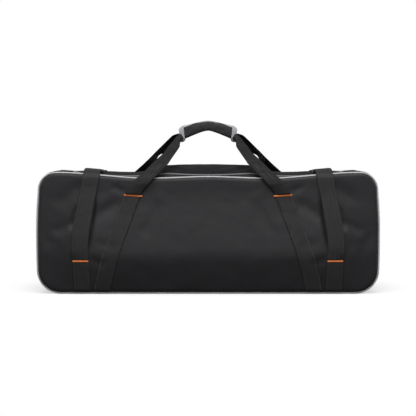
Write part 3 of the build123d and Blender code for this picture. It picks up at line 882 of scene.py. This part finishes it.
def box_and_cross(low, high, half, surface, sign):
    """Stitches round a box and along its diagonals; low and high are the middles of two sides."""
    corners = [(low[0] - half, low[1]), (low[0] + half, low[1]),
               (high[0] + half, high[1]), (high[0] - half, high[1])]
    lines = corners + [corners[0], corners[2]], [corners[1], corners[3]]
    return [line_stitches(line, surface, sign, WEB_GAP + WEB_T + 0.02) for line in lines]


FOOT_Z, TACK_END_Z = 6.0, 224.5                # ends of the sewn part of the handle straps
HANDLE_TACK, CLOSE_TACK, REAR_CLOSE_TACK = (168.5, 222.5), (286.4, 75.0), (277.6, 75.0)
REAR_TACK = (HANDLE_TACK[0] + 42.0, 222.5)     # the rear handle is sewn on wider
BOX_LOW_Z, BOX_HIGH_Z, BOX_HALF = 187.0, 216.5, WEB / 2 - 4.0
LID_LIFT, BODY_LIFT = -(WEB_GAP + WEB_T / 2), WEB_GAP + WEB_T / 2
HANDLE_LINE = [
    (239, FOOT_Z), (232, 40), (224, 73), (207.5, 122), (189.5, 169.5), (180.3, 195.3),
    (169.3, TACK_END_Z),
]
CLOSE_LINE = [(284, FOOT_Z), (285, 40), (286.5, 77.0)]
tack_rng = np.random.default_rng(8)
tack_parts = {"front": [], "rear": []}
seam_parts = {"front": [], "rear": [], "front_glint": []}
cross_parts = {"front": [], "rear": []}
for side, sign in SIDES.items():
    outer = 0 if sign < 0 else 1
    grid = sewn_strap("handle_webbing_front_" + side, "front_handle_strap_" + side, "front_lid",
                      [(sign * x, z) for x, z in HANDLE_LINE], front_y, LID_LIFT)
    seam_parts["front_glint"].append(edge_stitches(grid, *GLINT_SEAM, (outer,)))
    seam_parts["front"].append(edge_stitches(grid, *SEAM, (1 - outer,)))
    grid = sewn_strap("closure_webbing_front_" + side, "front_closure_strap_" + side, "front_lid",
                      [(sign * x, z) for x, z in CLOSE_LINE], front_y, LID_LIFT)
    seam_parts["front"].append(edge_stitches(grid, *SEAM))
    cross_parts["front"] += box_and_cross(
        (sign * 184.0, BOX_LOW_Z), (sign * 172.0, BOX_HIGH_Z), sign * BOX_HALF, front_y, -1)
    for (x, z), slope, reach in ((HANDLE_TACK, 0.07 * sign, 20.4), (CLOSE_TACK, 0.0, 17.8)):
        tack_parts["front"].append(
            bartack_threads((sign * x, z), slope, front_y, -1, tack_rng, reach))

    grid = sewn_strap("handle_webbing_rear_" + side, "rear_handle_strap_" + side, "case_body",
                      [(sign * 239, FOOT_Z), (sign * REAR_TACK[0], TACK_END_Z)],
                      back_y, BODY_LIFT)
    seam_parts["rear"].append(edge_stitches(grid, *SEAM))
    grid = sewn_strap("closure_webbing_rear_" + side, "rear_closure_strap_" + side, "case_body",
                      [(sign * 284, FOOT_Z), (sign * 261, 262.0)], back_y, BODY_LIFT)
    seam_parts["rear"].append(edge_stitches(grid, *SEAM))
    for x, z in (REAR_TACK, REAR_CLOSE_TACK):
        tack_parts["rear"].append(bartack_threads((sign * x, z), 0.0, back_y, 1, tack_rng, 19.0))
    cross_parts["rear"] += box_and_cross(
        (sign * (REAR_TACK[0] + 4.2), BOX_LOW_Z), (sign * (REAR_TACK[0] + 0.8), BOX_HIGH_Z),
        BOX_HALF, back_y, 1)


def merged_threads(name, parts, radius, material, body, slot, replaces=()):
    starts, ends, normals = (np.vstack([part[k] for part in parts]) for k in range(3))
    return dress(threads_piece(name, starts, ends, normals, radius), slot, body, replaces, material)


for face, body in (("front", "front_lid"), ("rear", "case_body")):
    merged_threads("bartack_threads_" + face, tack_parts[face], 0.42, BARTACK, body,
                   "bartack_thread", (face + "_bartacks",))
    # the thread is painted lighter than the webbing: a painted glint on the stitches
    merged_threads("strap_stitches_" + face, seam_parts[face], 0.32, THREAD, body, "webbing")
    merged_threads("box_cross_stitches_" + face, cross_parts[face], 0.32, THREAD_BLACK, body,
                   "webbing")
# outer rows of the front handle straps: grey thread as a painted glint
merged_threads("strap_stitches_front_outer", seam_parts["front_glint"], 0.26, THREAD_GLINT,
               "front_lid", "webbing")


# ---- closure straps ----------------------------------------------------------------------
def hang(piece):
    """Bakes a strap's placement into its points; it does not bend the strap at its bartack or give
    it a body.
    """
    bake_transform(piece)


CLOSE_FREE = [  # x, z, stand-off from the cloth
    (286.6, 76.0, 0.4), (288.2, 92.0, 2.4), (288.5, 110.0, 4.0), (285.8, 138.0, 4.6),
    (279.8, 176.0, 4.6), (273.4, 213.0, 4.2), (266.2, 247.0, 3.2), (262.0, 268.0, 2.0),
]
ACROSS = np.linspace(-1, 1, 13)[None]          # shares across a strap


def tilt(y, outward_share):
    """Over the front of the top the strap's outer edge stands higher than its inner edge."""
    return 1.7 * outward_share * smooth(y, -108, -84) * (1 - smooth(y, 20, 90))


def over_top(points, sign, spacing, rounding):
    """Grid of a strap across the top, from the (x, y, z) points of its middle line."""
    line = soften([(sign * x, y, z) for x, y, z in points], spacing, rounding)
    y = line[:, 1:2]
    height = line[:, 2:] + tilt(y, ACROSS * sign)
    return np.stack(np.broadcast_arrays(line[:, :1] + ACROSS * WEB / 2, y, height), axis=2)


for side, sign in SIDES.items():
    line = soften([(sign * x, z, off) for x, z, off in CLOSE_FREE], 3.5, 8.0)
    x = line[:, :1] + ACROSS * WEB / 2
    z = np.broadcast_to(line[:, 1:2], x.shape)
    middle_y = front_y(line[:, :1], line[:, 1:2])
    near = smooth(line[:, 2:3], 0.4, 2.6)
    resting = front_y(x, z) * (1 - near) + middle_y * near
    y = resting - line[:, 2:3] - WEB_T / 2
    top_y = y[-1].mean()
    top_part = over_top([
        (262.0, top_y, 265.5), (262.0, top_y + 0.8, 270.0), (262.0, top_y + 3.6, 273.6),
        (262.0, top_y + 10.0, 275.4), (261.6, -94.0, 278.4), (261.2, -74.0, 281.2),
        (261.0, -41.0, 281.4),
    ], sign, 3.0, 3.5)
    whole = np.concatenate([np.stack([x, y, z], axis=2)[:-1], top_part])
    strap = thick_webbing("closure_strap_free_" + side, whole, WEB_T)
    dress(strap, "webbing", None, ("closure_strap_" + side, "closure_tail_" + side))
    hang(strap)

    back_edge = float(back_y(np.array([sign * 261.0]), np.array([262.0]))[0]) + BODY_LIFT
    grid = over_top([
        (261.0, back_edge, 260.5), (261.2, back_edge - 1.5, 268.0),
        (261.6, back_edge - 5.5, 273.4), (262.0, back_edge - 13.0, 275.6), (263.0, 78.0, 276.3),
        (262.0, 10.0, 277.6), (261.0, -74.0, 278.2),
    ], sign, 3.5, 4.0)
    strap = thick_webbing("closure_webbing_top_" + side, grid, WEB_T)
    dress(strap, "webbing", "case_body", ("top_closure_strap_" + side,))


# ---- carrying handles --------------------------------------------------------------------
# The two edges of a left leg from its bartack to the grip: outer (x, y, z), inner (x, y, z).
FRONT_LEG = [
    (-187.9, -115.4, 225.0, -148.4, -115.4, 224.2), (-185.4, -115.6, 231.0, -146.6, -116.0, 230.4),
    (-177.4, -114.8, 242.5, -140.8, -118.0, 238.6), (-167.6, -114.0, 255.0, -132.4, -121.0, 248.6),
    (-159.0, -112.8, 264.0, -121.9, -119.4, 261.0), (-145.8, -107.5, 274.0, -109.6, -114.0, 273.0),
    (-130.0, -97.0, 289.6, -98.5, -104.0, 284.0), (-115.0, -82.0, 305.7, -87.0, -89.0, 297.5),
    (-101.8, -64.5, 318.0, -78.6, -71.5, 310.2), (-93.0, -46.0, 331.2, -70.8, -53.0, 322.5),
    (-82.5, -28.0, 342.5, -65.0, -37.0, 332.5), (-75.0, -11.0, 353.0, -65.0, -25.0, 343.0),
    (-66.0, -7.0, 360.0, -57.0, -17.0, 351.0),
]
REAR_LEG = [
    (-229.5, 119.0, 225.0, -191.5, 119.0, 225.0), (-222.0, 122.4, 236.0, -185.5, 122.4, 235.0),
    (-200.0, 122.5, 256.0, -163.0, 122.5, 254.0), (-175.5, 103.0, 272.5, -142.0, 115.0, 266.5),
    (-154.0, 68.0, 290.5, -132.0, 96.0, 284.0), (-137.8, 33.0, 305.0, -123.0, 66.5, 298.0),
    (-130.5, 25.0, 312.0, -120.6, 60.0, 306.5), (-124.5, 20.0, 317.7, -116.8, 55.0, 313.0),
    (-117.3, 16.0, 324.8, -106.5, 49.5, 317.2), (-108.5, 12.0, 333.5, -88.5, 37.0, 316.5),
    (-93.5, 8.0, 348.3, -73.0, 23.0, 329.0), (-83.2, 7.0, 357.6, -67.0, 15.0, 341.0),
    (-75.0, 8.0, 361.2, -62.0, 10.0, 347.0), (-62.0, 8.0, 364.0, -54.0, 8.0, 354.5),
]


NECKING = 1.035       # pulled webbing is narrower by this factor


def curled(line, sign, depth_sign, tucked, cols=15):
    """Grid of webbing between two edges, standing proud where they are closer than its width.

    Towards the grip its edges are tucked under by a share of its width.
    """
    web = WEB * (1 - tucked * smooth((line[:, 2] + line[:, 5]) / 2, 278, 318))
    outer, inner = line[:, :3], line[:, 3:]
    chord = inner - outer
    length = np.linalg.norm(chord, axis=1)
    seen = np.minimum(length * NECKING, web - 0.05)
    across = chord / length[:, None]
    half_turn = np.linspace(0.02, math.pi, 200)
    share_seen = np.where(half_turn < math.pi / 2, np.sin(half_turn) / half_turn, 1 / half_turn)
    turn = np.interp(-seen / web, -share_seen, half_turn)[:, None]
    bend = web[:, None] / 2 / turn
    share = np.linspace(-1, 1, cols)[None]
    sideways = bend * np.sin(share * turn) / NECKING
    rise = bend * (np.cos(share * turn) - np.maximum(np.cos(turn), 0))
    proud = rise * (1 - 0.45 * smooth(turn, 1.2, 2.4))
    middle = (outer + inner) / 2
    run = np.gradient(middle, axis=0)
    face = np.cross(run, across)
    face /= np.linalg.norm(face, axis=1)[:, None]
    face *= np.sign(face[:, 1:2] * depth_sign)
    grid = middle[:, None] + sideways[..., None] * across[:, None]
    return (grid + proud[..., None] * face[:, None]) * np.array([-sign, 1, 1])


for face, table, depth_sign, body, tucked in (
    ("front", FRONT_LEG, -1, "front_lid", 0.34), ("rear", REAR_LEG, 1, "case_body", 0.0),
):
    line = soften(table, 3.0, 4.5)
    for side, sign in SIDES.items():
        grid = curled(line, sign, depth_sign, tucked)
        leg = thick_webbing(f"handle_leg_{face}_{side}", grid, WEB_T)
        # the legs take the webbing painted darker: painted shade
        dress(leg, "webbing", None, (f"{face}_handle_leg_{side}",), SHADED_LEG_WEBBING)
        hang(leg)


# ---- padded grips ------------------------------------------------------------------------
GRIP_HALF, BAND_FROM = 65.5, 55.0
GRIP_TOP, GRIP_UNDER = 391.8, 368.2           # middle of its upper and lower edge
GRIP_BACK, GRIP_DEPTH = 3.4, 12.4
CORE_T = 2.4                                   # webbing inside the grip


def grip_fall(x, slope, round_over):
    """Fall of an edge of the grip from its middle: nearly straight each way from a small round."""
    return slope * (np.sqrt(x ** 2 + round_over ** 2) - round_over)


def grip_point(share, turn, depth_sign, proud=0.0):
    """Point on a grip's D-shaped section: share along it, turn from its top to its lower edge."""
    corner = np.clip((np.abs(share) - 0.85) / 0.16, 0, 1) ** 2.2
    top = GRIP_TOP - grip_fall(share * GRIP_HALF, 0.27, 14) - 0.8 - 6.0 * corner
    under = GRIP_UNDER - grip_fall(share * GRIP_HALF, 0.42, 11) + 1.2
    under = under - 3.6 * smooth(np.abs(share), 0.80, 0.92) + 3.0 * corner
    middle, half = (top + under) / 2, (top - under) / 2 + proud
    cosine, sine = np.cos(turn), np.maximum(np.sin(turn), 0)
    height = np.sign(cosine) * np.abs(cosine) ** 0.62
    ridge = 0.5 * waves(share * 60, turn * 18, 51, 22, 2) * sine
    depth = GRIP_BACK + (GRIP_DEPTH + proud + ridge) * sine ** 0.34 * (1 - 0.2 * corner)
    lean = 0.15 * (middle + half * height - 362) * np.sign(share) * np.abs(share) ** 2
    x = share * GRIP_HALF + lean
    return np.stack(np.broadcast_arrays(x, depth_sign * depth, middle + half * height), axis=-1)


def core_webbing(name, depth_sign, half=62.0, drop=19.0, width=15.0, curl=0.02):
    """The webbing inside a grip: upright, bowed down towards its ends and very slightly curled."""
    reach = np.linspace(-1.0, 1.0, 61)
    middle = (GRIP_TOP + GRIP_UNDER) / 2 - drop * reach ** 2
    path = np.column_stack([reach * half, np.full(61, depth_sign * 2.0), middle])
    run = np.gradient(path, axis=0)
    run /= np.linalg.norm(run, axis=1)[:, None]
    across = np.column_stack([2 * drop / half * reach, np.zeros(61), np.ones(61)])
    across = across - (across * run).sum(1)[:, None] * run
    across /= np.linalg.norm(across, axis=1)[:, None]
    face = np.cross(run, across)
    turn = np.linspace(-1, 1, 13)[None, :, None] * curl / 2
    sideways, back = width / curl * np.sin(turn), width / curl * (1 - np.cos(turn))
    grid = path[:, None] + sideways * across[:, None] - back * face[:, None]
    return thick_webbing(name, grid, CORE_T)


def d_section_piece(name, share, depth_sign):
    """Closed pad: the curved face, a flat back, and both ends."""
    turn = np.linspace(0, math.pi, 25)
    grid = grip_point(share[:, None], turn[None], depth_sign)
    back_share = np.linspace(1, 0, 7)[1:-1]
    first, last = grid[:, :1], grid[:, -1:]
    back = last + (first - last) * (1 - back_share)[None, :, None]
    ring = np.concatenate([grid, back], axis=1)
    rows, cols = ring.shape[:2]
    faces = grid_faces(rows, cols, False, True)
    points = ring.reshape(-1, 3)
    extra = []
    for row, at in ((0, len(points)), (rows - 1, len(points) + 1)):
        extra.append(ring[row].mean(0))
        faces += [(row * cols + j, row * cols + (j + 1) % cols, at) for j in range(cols)]
    along, around = share[:, None] * GRIP_HALF, np.arange(cols)[None] * 1.9
    uv = np.stack(np.broadcast_arrays(along, around), axis=2).reshape(-1, 2)
    uv = np.vstack([uv, [[0, 0], [0, 0]]])
    return mesh_piece(name, np.vstack([points, extra]), faces, uv)


for face, depth_sign in (("front", -1), ("rear", 1)):
    body = face + "_handle"
    share = np.linspace(-0.985, 0.985, 61)
    pad = d_section_piece("grip_pad_" + face, share, depth_sign)
    dress(pad, "grip_fabric", body, (face + "_grip_pad",))
    turn = np.linspace(0, math.pi, 25)
    for side, sign in SIDES.items():
        share = sign * np.linspace(BAND_FROM / GRIP_HALF, 1.005, 11)
        grid = grip_point(share[:, None], turn[None], depth_sign, 0.9)
        flare = 0.25 * np.sin(np.linspace(0, math.pi, 11))[:, None]
        grid[..., 1] += depth_sign * flare
        band = cloth_piece(f"grip_binding_{face}_{side}", grid, 1.1, side=-sign * depth_sign)
        dress(band, "binding", body, (face + "_grip_binding",) if side == "left" else ())
    share = np.linspace(-BAND_FROM / GRIP_HALF, BAND_FROM / GRIP_HALF, 49)
    # the tape drops over the face near the bands
    over = 0.10 + 0.80 * smooth(np.abs(share[:, None]), 0.22, 0.80)
    turn = np.linspace(0, 1, 9)[None] * over
    grid = grip_point(share[:, None], turn, depth_sign, 0.8)
    tape = cloth_piece("grip_binding_top_" + face, grid, 0.9, side=-depth_sign)
    dress(tape, "binding", body)
    dress(core_webbing("grip_webbing_" + face, depth_sign), "webbing", body, (face + "_grip_core",))


# ---- zip ---------------------------------------------------------------------------------
# its top is level, so that the sliders run straight
ZIP = (box_mm("zip_tape_lid")[1][2] + ZIP_IN, level)
ZIP_LOW = box_mm("zip_tape_lid")[0][2]
TAPE_T, ZIP_PITCH = 0.7, 4.0                   # thickness, and spacing of points along it


def strip_grid(profile, keep):
    """Grid of a strip along the outline; the profile is a list of (inset, y, shape)."""
    rows = []
    for inset, y, shape in profile:
        path = loop_points(inset, shape, ZIP_PITCH)
        rows.append(np.column_stack([path[:, 0], np.full(len(path), y), path[:, 1]]))
    grid = np.stack(rows, axis=1)
    return grid[in_order(keep(loop_points(ZIP_IN, ZIP, ZIP_PITCH)))]


def zipped(path):
    return path[:, 1] > ZIP_LOW


def unzipped(path):
    return path[:, 1] < ZIP_LOW + 5


lid_tape_y = (box_mm("zip_tape_lid")[0][1], box_mm("zip_tape_lid")[1][1])
body_tape_y = (box_mm("zip_tape_body")[0][1], box_mm("zip_tape_body")[1][1])
grid = strip_grid([
    (4.4, -SEAM_Y - 0.6, LID), (5.6, -SEAM_Y + 1.6, LID), (ZIP_IN - 0.6, -SEAM_Y + 3.2, ZIP),
    (ZIP_IN, -SEAM_Y + 5.0, ZIP), (ZIP_IN, lid_tape_y[1] - 1.5, ZIP), (ZIP_IN, lid_tape_y[1], ZIP),
], zipped)
dress(cloth_piece("lid_zip_tape", grid, TAPE_T), "zip_tape", "front_lid", ("zip_tape_lid",))
grid = strip_grid([
    (ZIP_IN, body_tape_y[0], ZIP), (ZIP_IN, body_tape_y[0] + 2, ZIP),
    (ZIP_IN, body_tape_y[1] - 5.5, ZIP), (ZIP_IN - 0.8, body_tape_y[1] - 3.4, ZIP),
    (5.6, body_tape_y[1] - 2.6, BODY), (4.4, body_tape_y[1] - 1.6, BODY),
], zipped)
dress(cloth_piece("body_zip_tape", grid, TAPE_T), "zip_tape", "case_body", ("zip_tape_body",))
grid = strip_grid([
    (4.4, -SEAM_Y - 0.4, LID), (5.2, -SEAM_Y + 2.2, LID), (4.2, -SEAM_Y + 7.0, LID),
    (3.6, (-SEAM_Y - RIM_Y) / 2, LID), (4.2, -RIM_Y - 6.0, BODY), (4.8, -RIM_Y - 2.2, BODY),
    (4.4, -RIM_Y + 0.4, BODY),
], unzipped)
hinge = cloth_piece("hinge_gusset", grid, 0.9)
dress(hinge, "shell_fabric", None, ("lid_hinge_strip",))
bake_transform(hinge)

COIL_PITCH = 2.6
coil_y = {
    "lid": (lid_tape_y[1] + 0.1, lid_tape_y[1] + 2.2),
    "body": (body_tape_y[0] - 2.2, body_tape_y[0] - 0.1),
}
path = loop_points(ZIP_IN, ZIP, ZIP_PITCH)
normal = outward(path)
order = in_order(zipped(path))
path, normal = path[order], normal[order]
length = run_lengths(path[:, None], 0)[:, 0]
for part, body in (("lid", "front_lid"), ("body", "case_body")):
    offset = COIL_PITCH / 2 if part == "lid" else 0.0       # the two sides' teeth alternate
    at = np.arange(1.0 + offset, length[-1] - 1, COIL_PITCH)
    x, z = np.interp(at, length, path[:, 0]), np.interp(at, length, path[:, 1])
    nx, nz = np.interp(at, length, normal[:, 0]), np.interp(at, length, normal[:, 1])
    low, high = coil_y[part]
    starts = np.column_stack([x, np.full(len(at), low - 0.9), z])
    ends = np.column_stack([x, np.full(len(at), high), z])
    normals = np.column_stack([nx, np.zeros(len(at)), nz])
    coil = threads_piece(part + "_zip_coil", starts, ends, normals, 1.05, 1.0)
    dress(coil, "zip_coil", body, ("zip_coil_" + part,))


# ---- lining and dividers -----------------------------------------------------------------
CAVITY_IN = box_mm("body_lining")[0][2]
CAVITY = (box_mm("body_lining")[1][2] + CAVITY_IN, level)
LID_LINING_IN = box_mm("lid_lining")[0][2]
LID_LINING = (box_mm("lid_lining")[1][2] + LID_LINING_IN, level)
QUILT = 52.0 * math.sqrt(2)                    # diagonal of a quilted diamond


def quilting(x, z, depth):
    """Diamond quilting: 0 on the crowns, -depth in the stitched lines."""
    a = np.abs(np.sin(math.pi * (x + z) / QUILT))
    b = np.abs(np.sin(math.pi * (x - z) / QUILT))
    return -depth * (1 - np.minimum(a, 1) ** 0.55 * np.minimum(b, 1) ** 0.55)


lining_y = (box_mm("body_lining")[0][1], box_mm("body_lining")[1][1])


grid, flat = panel_grid(
    CAVITY, CAVITY_IN + 0.2, lambda x, z: lining_y[1] - 3.2 - quilting(x, z, 2.4))
piece = cloth_piece("lining_back", grid, 0.6, side=-1.0, uv=flat)
dress(piece, "lining_fabric", "case_body", ("body_lining",))

path = loop_points(CAVITY_IN + 0.2, CAVITY, 5.0)
normal = outward(path)
mouth = lining_y[0]
y = np.concatenate([
    [mouth - 1.2, mouth - 0.6, mouth + 0.6], np.linspace(mouth + 4, lining_y[1] - 1, 34)])
around = run_lengths(path[:, None], 0)
flange = np.zeros(len(y))
flange[:3] = (4.6, 2.4, 0.4)                   # the lining turns out over the rim
pucker = 0.5 * waves(around, y[None], 61, 60, 3) * smooth(y, mouth + 4, mouth + 20)[None]
out = flange[None] + pucker * 0.8 - 0.5 * (flange == 0)[None]
grid = np.stack([
    path[:, :1] + normal[:, :1] * out, np.broadcast_to(y[None], out.shape),
    path[:, 1:] + normal[:, 1:] * out,
], axis=2)
piece = cloth_piece("lining_walls", grid, 0.5, wrap_rows=True)
dress(piece, "lining_fabric", "case_body")

lid_lining_y = box_mm("lid_lining")[1][1]
grid, flat = panel_grid(
    LID_LINING, LID_LINING_IN - 2.4, lambda x, z: lid_lining_y + quilting(x, z, 2.6))
piece = cloth_piece("lid_lining_quilted", grid, 0.6, side=1.0, uv=flat)
dress(piece, "lining_fabric", "front_lid", ("lid_lining",))


def padded_board(name, low, high, rounding, puff):
    """Upright pad with soft corners and edges; low and high are its box."""
    middle, half = (low + high) / 2, (high - low) / 2
    steps = np.linspace(0, math.pi / 2, 7)
    flat_y, flat_z = half[1] - rounding, half[2] - rounding
    corner = [(flat_y + rounding * np.cos(t), flat_z + rounding * np.sin(t)) for t in steps]
    corner += [(-flat_y - rounding * np.sin(t), flat_z + rounding * np.cos(t)) for t in steps]
    corner += [(-flat_y - rounding * np.cos(t), -flat_z - rounding * np.sin(t)) for t in steps]
    corner += [(flat_y + rounding * np.sin(t), -flat_z - rounding * np.cos(t)) for t in steps]
    ring = []
    for a, b in zip(corner, corner[1:] + corner[:1]):
        gap = math.dist(a, b)
        count = max(1, int(round(gap / 6.0)))
        ring += [(a[0] + (b[0] - a[0]) * k / count, a[1] + (b[1] - a[1]) * k / count)
                 for k in range(count)]
    ring = np.array(ring)
    shares = np.array(
        [0.02, 0.12, 0.25, 0.4, 0.55, 0.7, 0.82, 0.9, 0.945, 0.97, 0.985, 0.996, 1.0])
    thick = half[0] * (1 - np.clip((shares - 0.9) / 0.1, 0, 1) ** 2 * 0.45)
    thick = thick - puff * (1 - np.clip(1.15 - shares, 0, 1) ** 0.5) * (shares < 0.95)
    sections = list(zip(shares, thick)) + list(zip(shares[::-1], -thick[::-1]))
    grid = np.stack([
        np.column_stack([np.full(len(ring), middle[0] + t), middle[1] + ring[:, 0] * s,
                         middle[2] + ring[:, 1] * s])
        for s, t in sections
    ], axis=0)
    rows, cols = grid.shape[:2]
    faces = grid_faces(rows, cols, False, True)
    faces += [tuple(range(cols))[::-1], tuple(range((rows - 1) * cols, rows * cols))]
    uv = grid[..., 1:].reshape(-1, 2)
    return mesh_piece(name, grid.reshape(-1, 3), faces, uv)


def swelled(piece, voxel_mm, pressure, reach_mm, last_frame=20):
    """Blows a padded piece up as cloth, with no point moving further than its reach."""
    scene = bpy.context.scene

    def evaluated(thing):
        graph = bpy.context.evaluated_depsgraph_get()
        return bpy.data.meshes.new_from_object(thing.evaluated_get(graph))

    def points_of(mesh):
        flat = np.zeros(len(mesh.vertices) * 3)
        mesh.vertices.foreach_get("co", flat)
        return flat.reshape(-1, 3)

    blank = bpy.data.objects.new(piece.name + "_blank", piece.data.copy())
    scene.collection.objects.link(blank)
    remesh = blank.modifiers.new("remesh", "REMESH")
    remesh.mode = "VOXEL"
    remesh.voxel_size = voxel_mm * 0.001
    mesh = evaluated(blank)
    blank.modifiers.clear()
    blank.data = mesh
    start = points_of(mesh)
    cloth = blank.modifiers.new("cloth", "CLOTH")
    cloth.settings.use_pressure = True
    cloth.settings.uniform_pressure_force = pressure
    cloth.settings.effector_weights.gravity = 0.0
    cloth.point_cache.frame_start, cloth.point_cache.frame_end = 1, last_frame
    for number in range(1, last_frame + 1):
        scene.frame_set(number)
    move = points_of(evaluated(blank)) - start
    length = np.linalg.norm(move, axis=1, keepdims=True)
    move *= np.minimum(1, reach_mm * 0.001 / np.maximum(length, 1e-9))
    blank.modifiers.clear()
    mesh.vertices.foreach_set("co", (start + move).ravel())
    fine = blank.modifiers.new("fine", "SUBSURF")
    fine.levels = 1
    mesh = evaluated(blank)
    bpy.data.objects.remove(blank)
    scene.frame_set(1)
    points = points_of(mesh)[corner_vertices(mesh)]
    normals = np.repeat([face.normal[:] for face in mesh.polygons],
                        [face.loop_total for face in mesh.polygons], axis=0)
    side_on = np.abs(normals[:, :1]) > 0.6
    uv = np.where(side_on, points[:, 1:], points[:, :2] + points[:, 2:])
    mesh.uv_layers.new(name="UVMap").data.foreach_set("uv", uv.ravel())
    mesh.polygons.foreach_set("use_smooth", [True] * len(mesh.polygons))
    piece.data = mesh
    return piece


for side in SIDES:
    low, high = box_mm("divider_" + side)
    inset = np.array([0.22 * (high - low)[0], 1.0, 1.0])   # it swells to its full thickness
    board = padded_board("divider_pad_" + side, low + inset, high - inset, 9.0, 0.2)
    board = swelled(board, 3.5, 4.0, 3.4)
    dress(board, "lining_fabric", "divider_body_" + side, ("divider_" + side,))


# ---- frame nodes that keep their own shape -----------------------------------------------
for finish, nodes in (
    (HOOK_LOOP, ("closure_hook_left", "closure_hook_right", "closure_loops",
                 "divider_hook_left", "divider_hook_right")),
    (LACQUER, ("zip_slider_left", "zip_slider_right", "zip_pull_left", "zip_pull_right")),
):
    for node in nodes:
        materials = frame["nodes"][node].data.materials
        materials.clear()
        materials.append(finish)


# ---- light, floor and camera -------------------------------------------------------------
def studio_world():
    """White where the camera looks past the floor, also through clear things; dim as a light."""
    world = bpy.data.worlds.new("studio")
    bpy.context.scene.world = world
    world.use_nodes = True
    tree = world.node_tree
    tree.nodes.clear()
    ray = put(tree, "LightPath").outputs
    seen = put(tree, "Math", {"operation": "MAXIMUM"}, {
        0: ray["Is Camera Ray"], 1: ray["Is Transmission Ray"]})
    soft = put(tree, "Background", None, {"Color": (1, 1, 1, 1), "Strength": WORLD_LIGHT})
    white = put(tree, "Background", None, {"Color": (1, 1, 1, 1), "Strength": 1.0})
    both = put(tree, "MixShader", None, {0: seen, 1: soft, 2: white})
    put(tree, "OutputWorld", None, {"Surface": both})


def floor_material():
    """Matt white paper: it takes the case's shadow and fades to the white of the background."""
    material, tree = new_material("seamless_paper_white")
    camera_ray = put(tree, "LightPath").outputs["Is Camera Ray"]
    place = put(tree, "NewGeometry").outputs["Position"]
    away = put(tree, "VectorMath", {"operation": "LENGTH"}, {0: place}).outputs["Value"]
    far = put(tree, "MapRange", {"interpolation_type": "SMOOTHSTEP"}, {
        0: away, 1: 0.32, 2: 0.52, 3: 0.45, 4: 1.0})
    paper = put(tree, "BsdfDiffuse", None, {"Color": rgb("#ffffff")})
    bounce = put(tree, "BsdfDiffuse", None, {"Color": rgb("#606060")})
    lit = put(tree, "MixShader", None, {0: camera_ray, 1: bounce, 2: paper})
    white = put(tree, "Emission", None, {"Color": (1, 1, 1, 1), "Strength": 1.0})
    faded = put(tree, "Math", {"operation": "MULTIPLY"}, {0: far, 1: camera_ray})
    both = put(tree, "MixShader", None, {0: faded, 1: lit, 2: white})
    put(tree, "OutputMaterial", None, {"Surface": both})
    return material


def area_light(name, place, target, size, power):
    data = bpy.data.lights.new(name, "AREA")
    data.shape = "RECTANGLE"
    data.size, data.size_y = size
    data.energy = power
    lamp = bpy.data.objects.new(name, data)
    lamp.location = place
    lamp.rotation_euler = (Vector(target) - Vector(place)).to_track_quat("-Z", "Y").to_euler()
    bpy.context.scene.collection.objects.link(lamp)


WORLD_LIGHT = 0.165
studio_world()
FLOOR, FLOOR_Z = 30000.0, -0.4
floor = mesh_piece("floor", [
    (x * FLOOR, y * FLOOR, FLOOR_Z) for x, y in ((-1, -1), (1, -1), (1, 1), (-1, 1))
], [(0, 1, 2, 3)])
floor.data.materials.append(floor_material())
area_light("overhead", (0, -1.25, 2.15), (0, -0.1, 0.15), (2.2, 1.2), 55)
area_light("front_fill", (0.0, -3.2, 1.3), (0, 0, 0.2), (2.4, 1.2), 25)
area_light("low_rear_fill", (0.0, 2.6, 0.14), (0, 0.1, 0.14), (2.8, 0.24), 26)
area_light("left_fill", (-2.9, 0.5, 1.1), (-0.3, 0, 0.15), (1.2, 1.2), 30)
area_light("right_fill", (2.9, 0.5, 1.1), (0.3, 0, 0.15), (1.2, 1.2), 30)

camera_data = bpy.data.cameras.new("camera")
camera_data.lens = 115.6
camera_data.sensor_width = 36.0
camera = bpy.data.objects.new("camera", camera_data)
camera.location = (0, -3.118, 0.330)
aim = Vector((0, -0.118, 0.1946)) - camera.location
camera.rotation_euler = aim.to_track_quat("-Z", "Y").to_euler()
bpy.context.scene.collection.objects.link(camera)
bpy.context.scene.camera = camera
bpy.context.scene.view_settings.view_transform = "Standard"
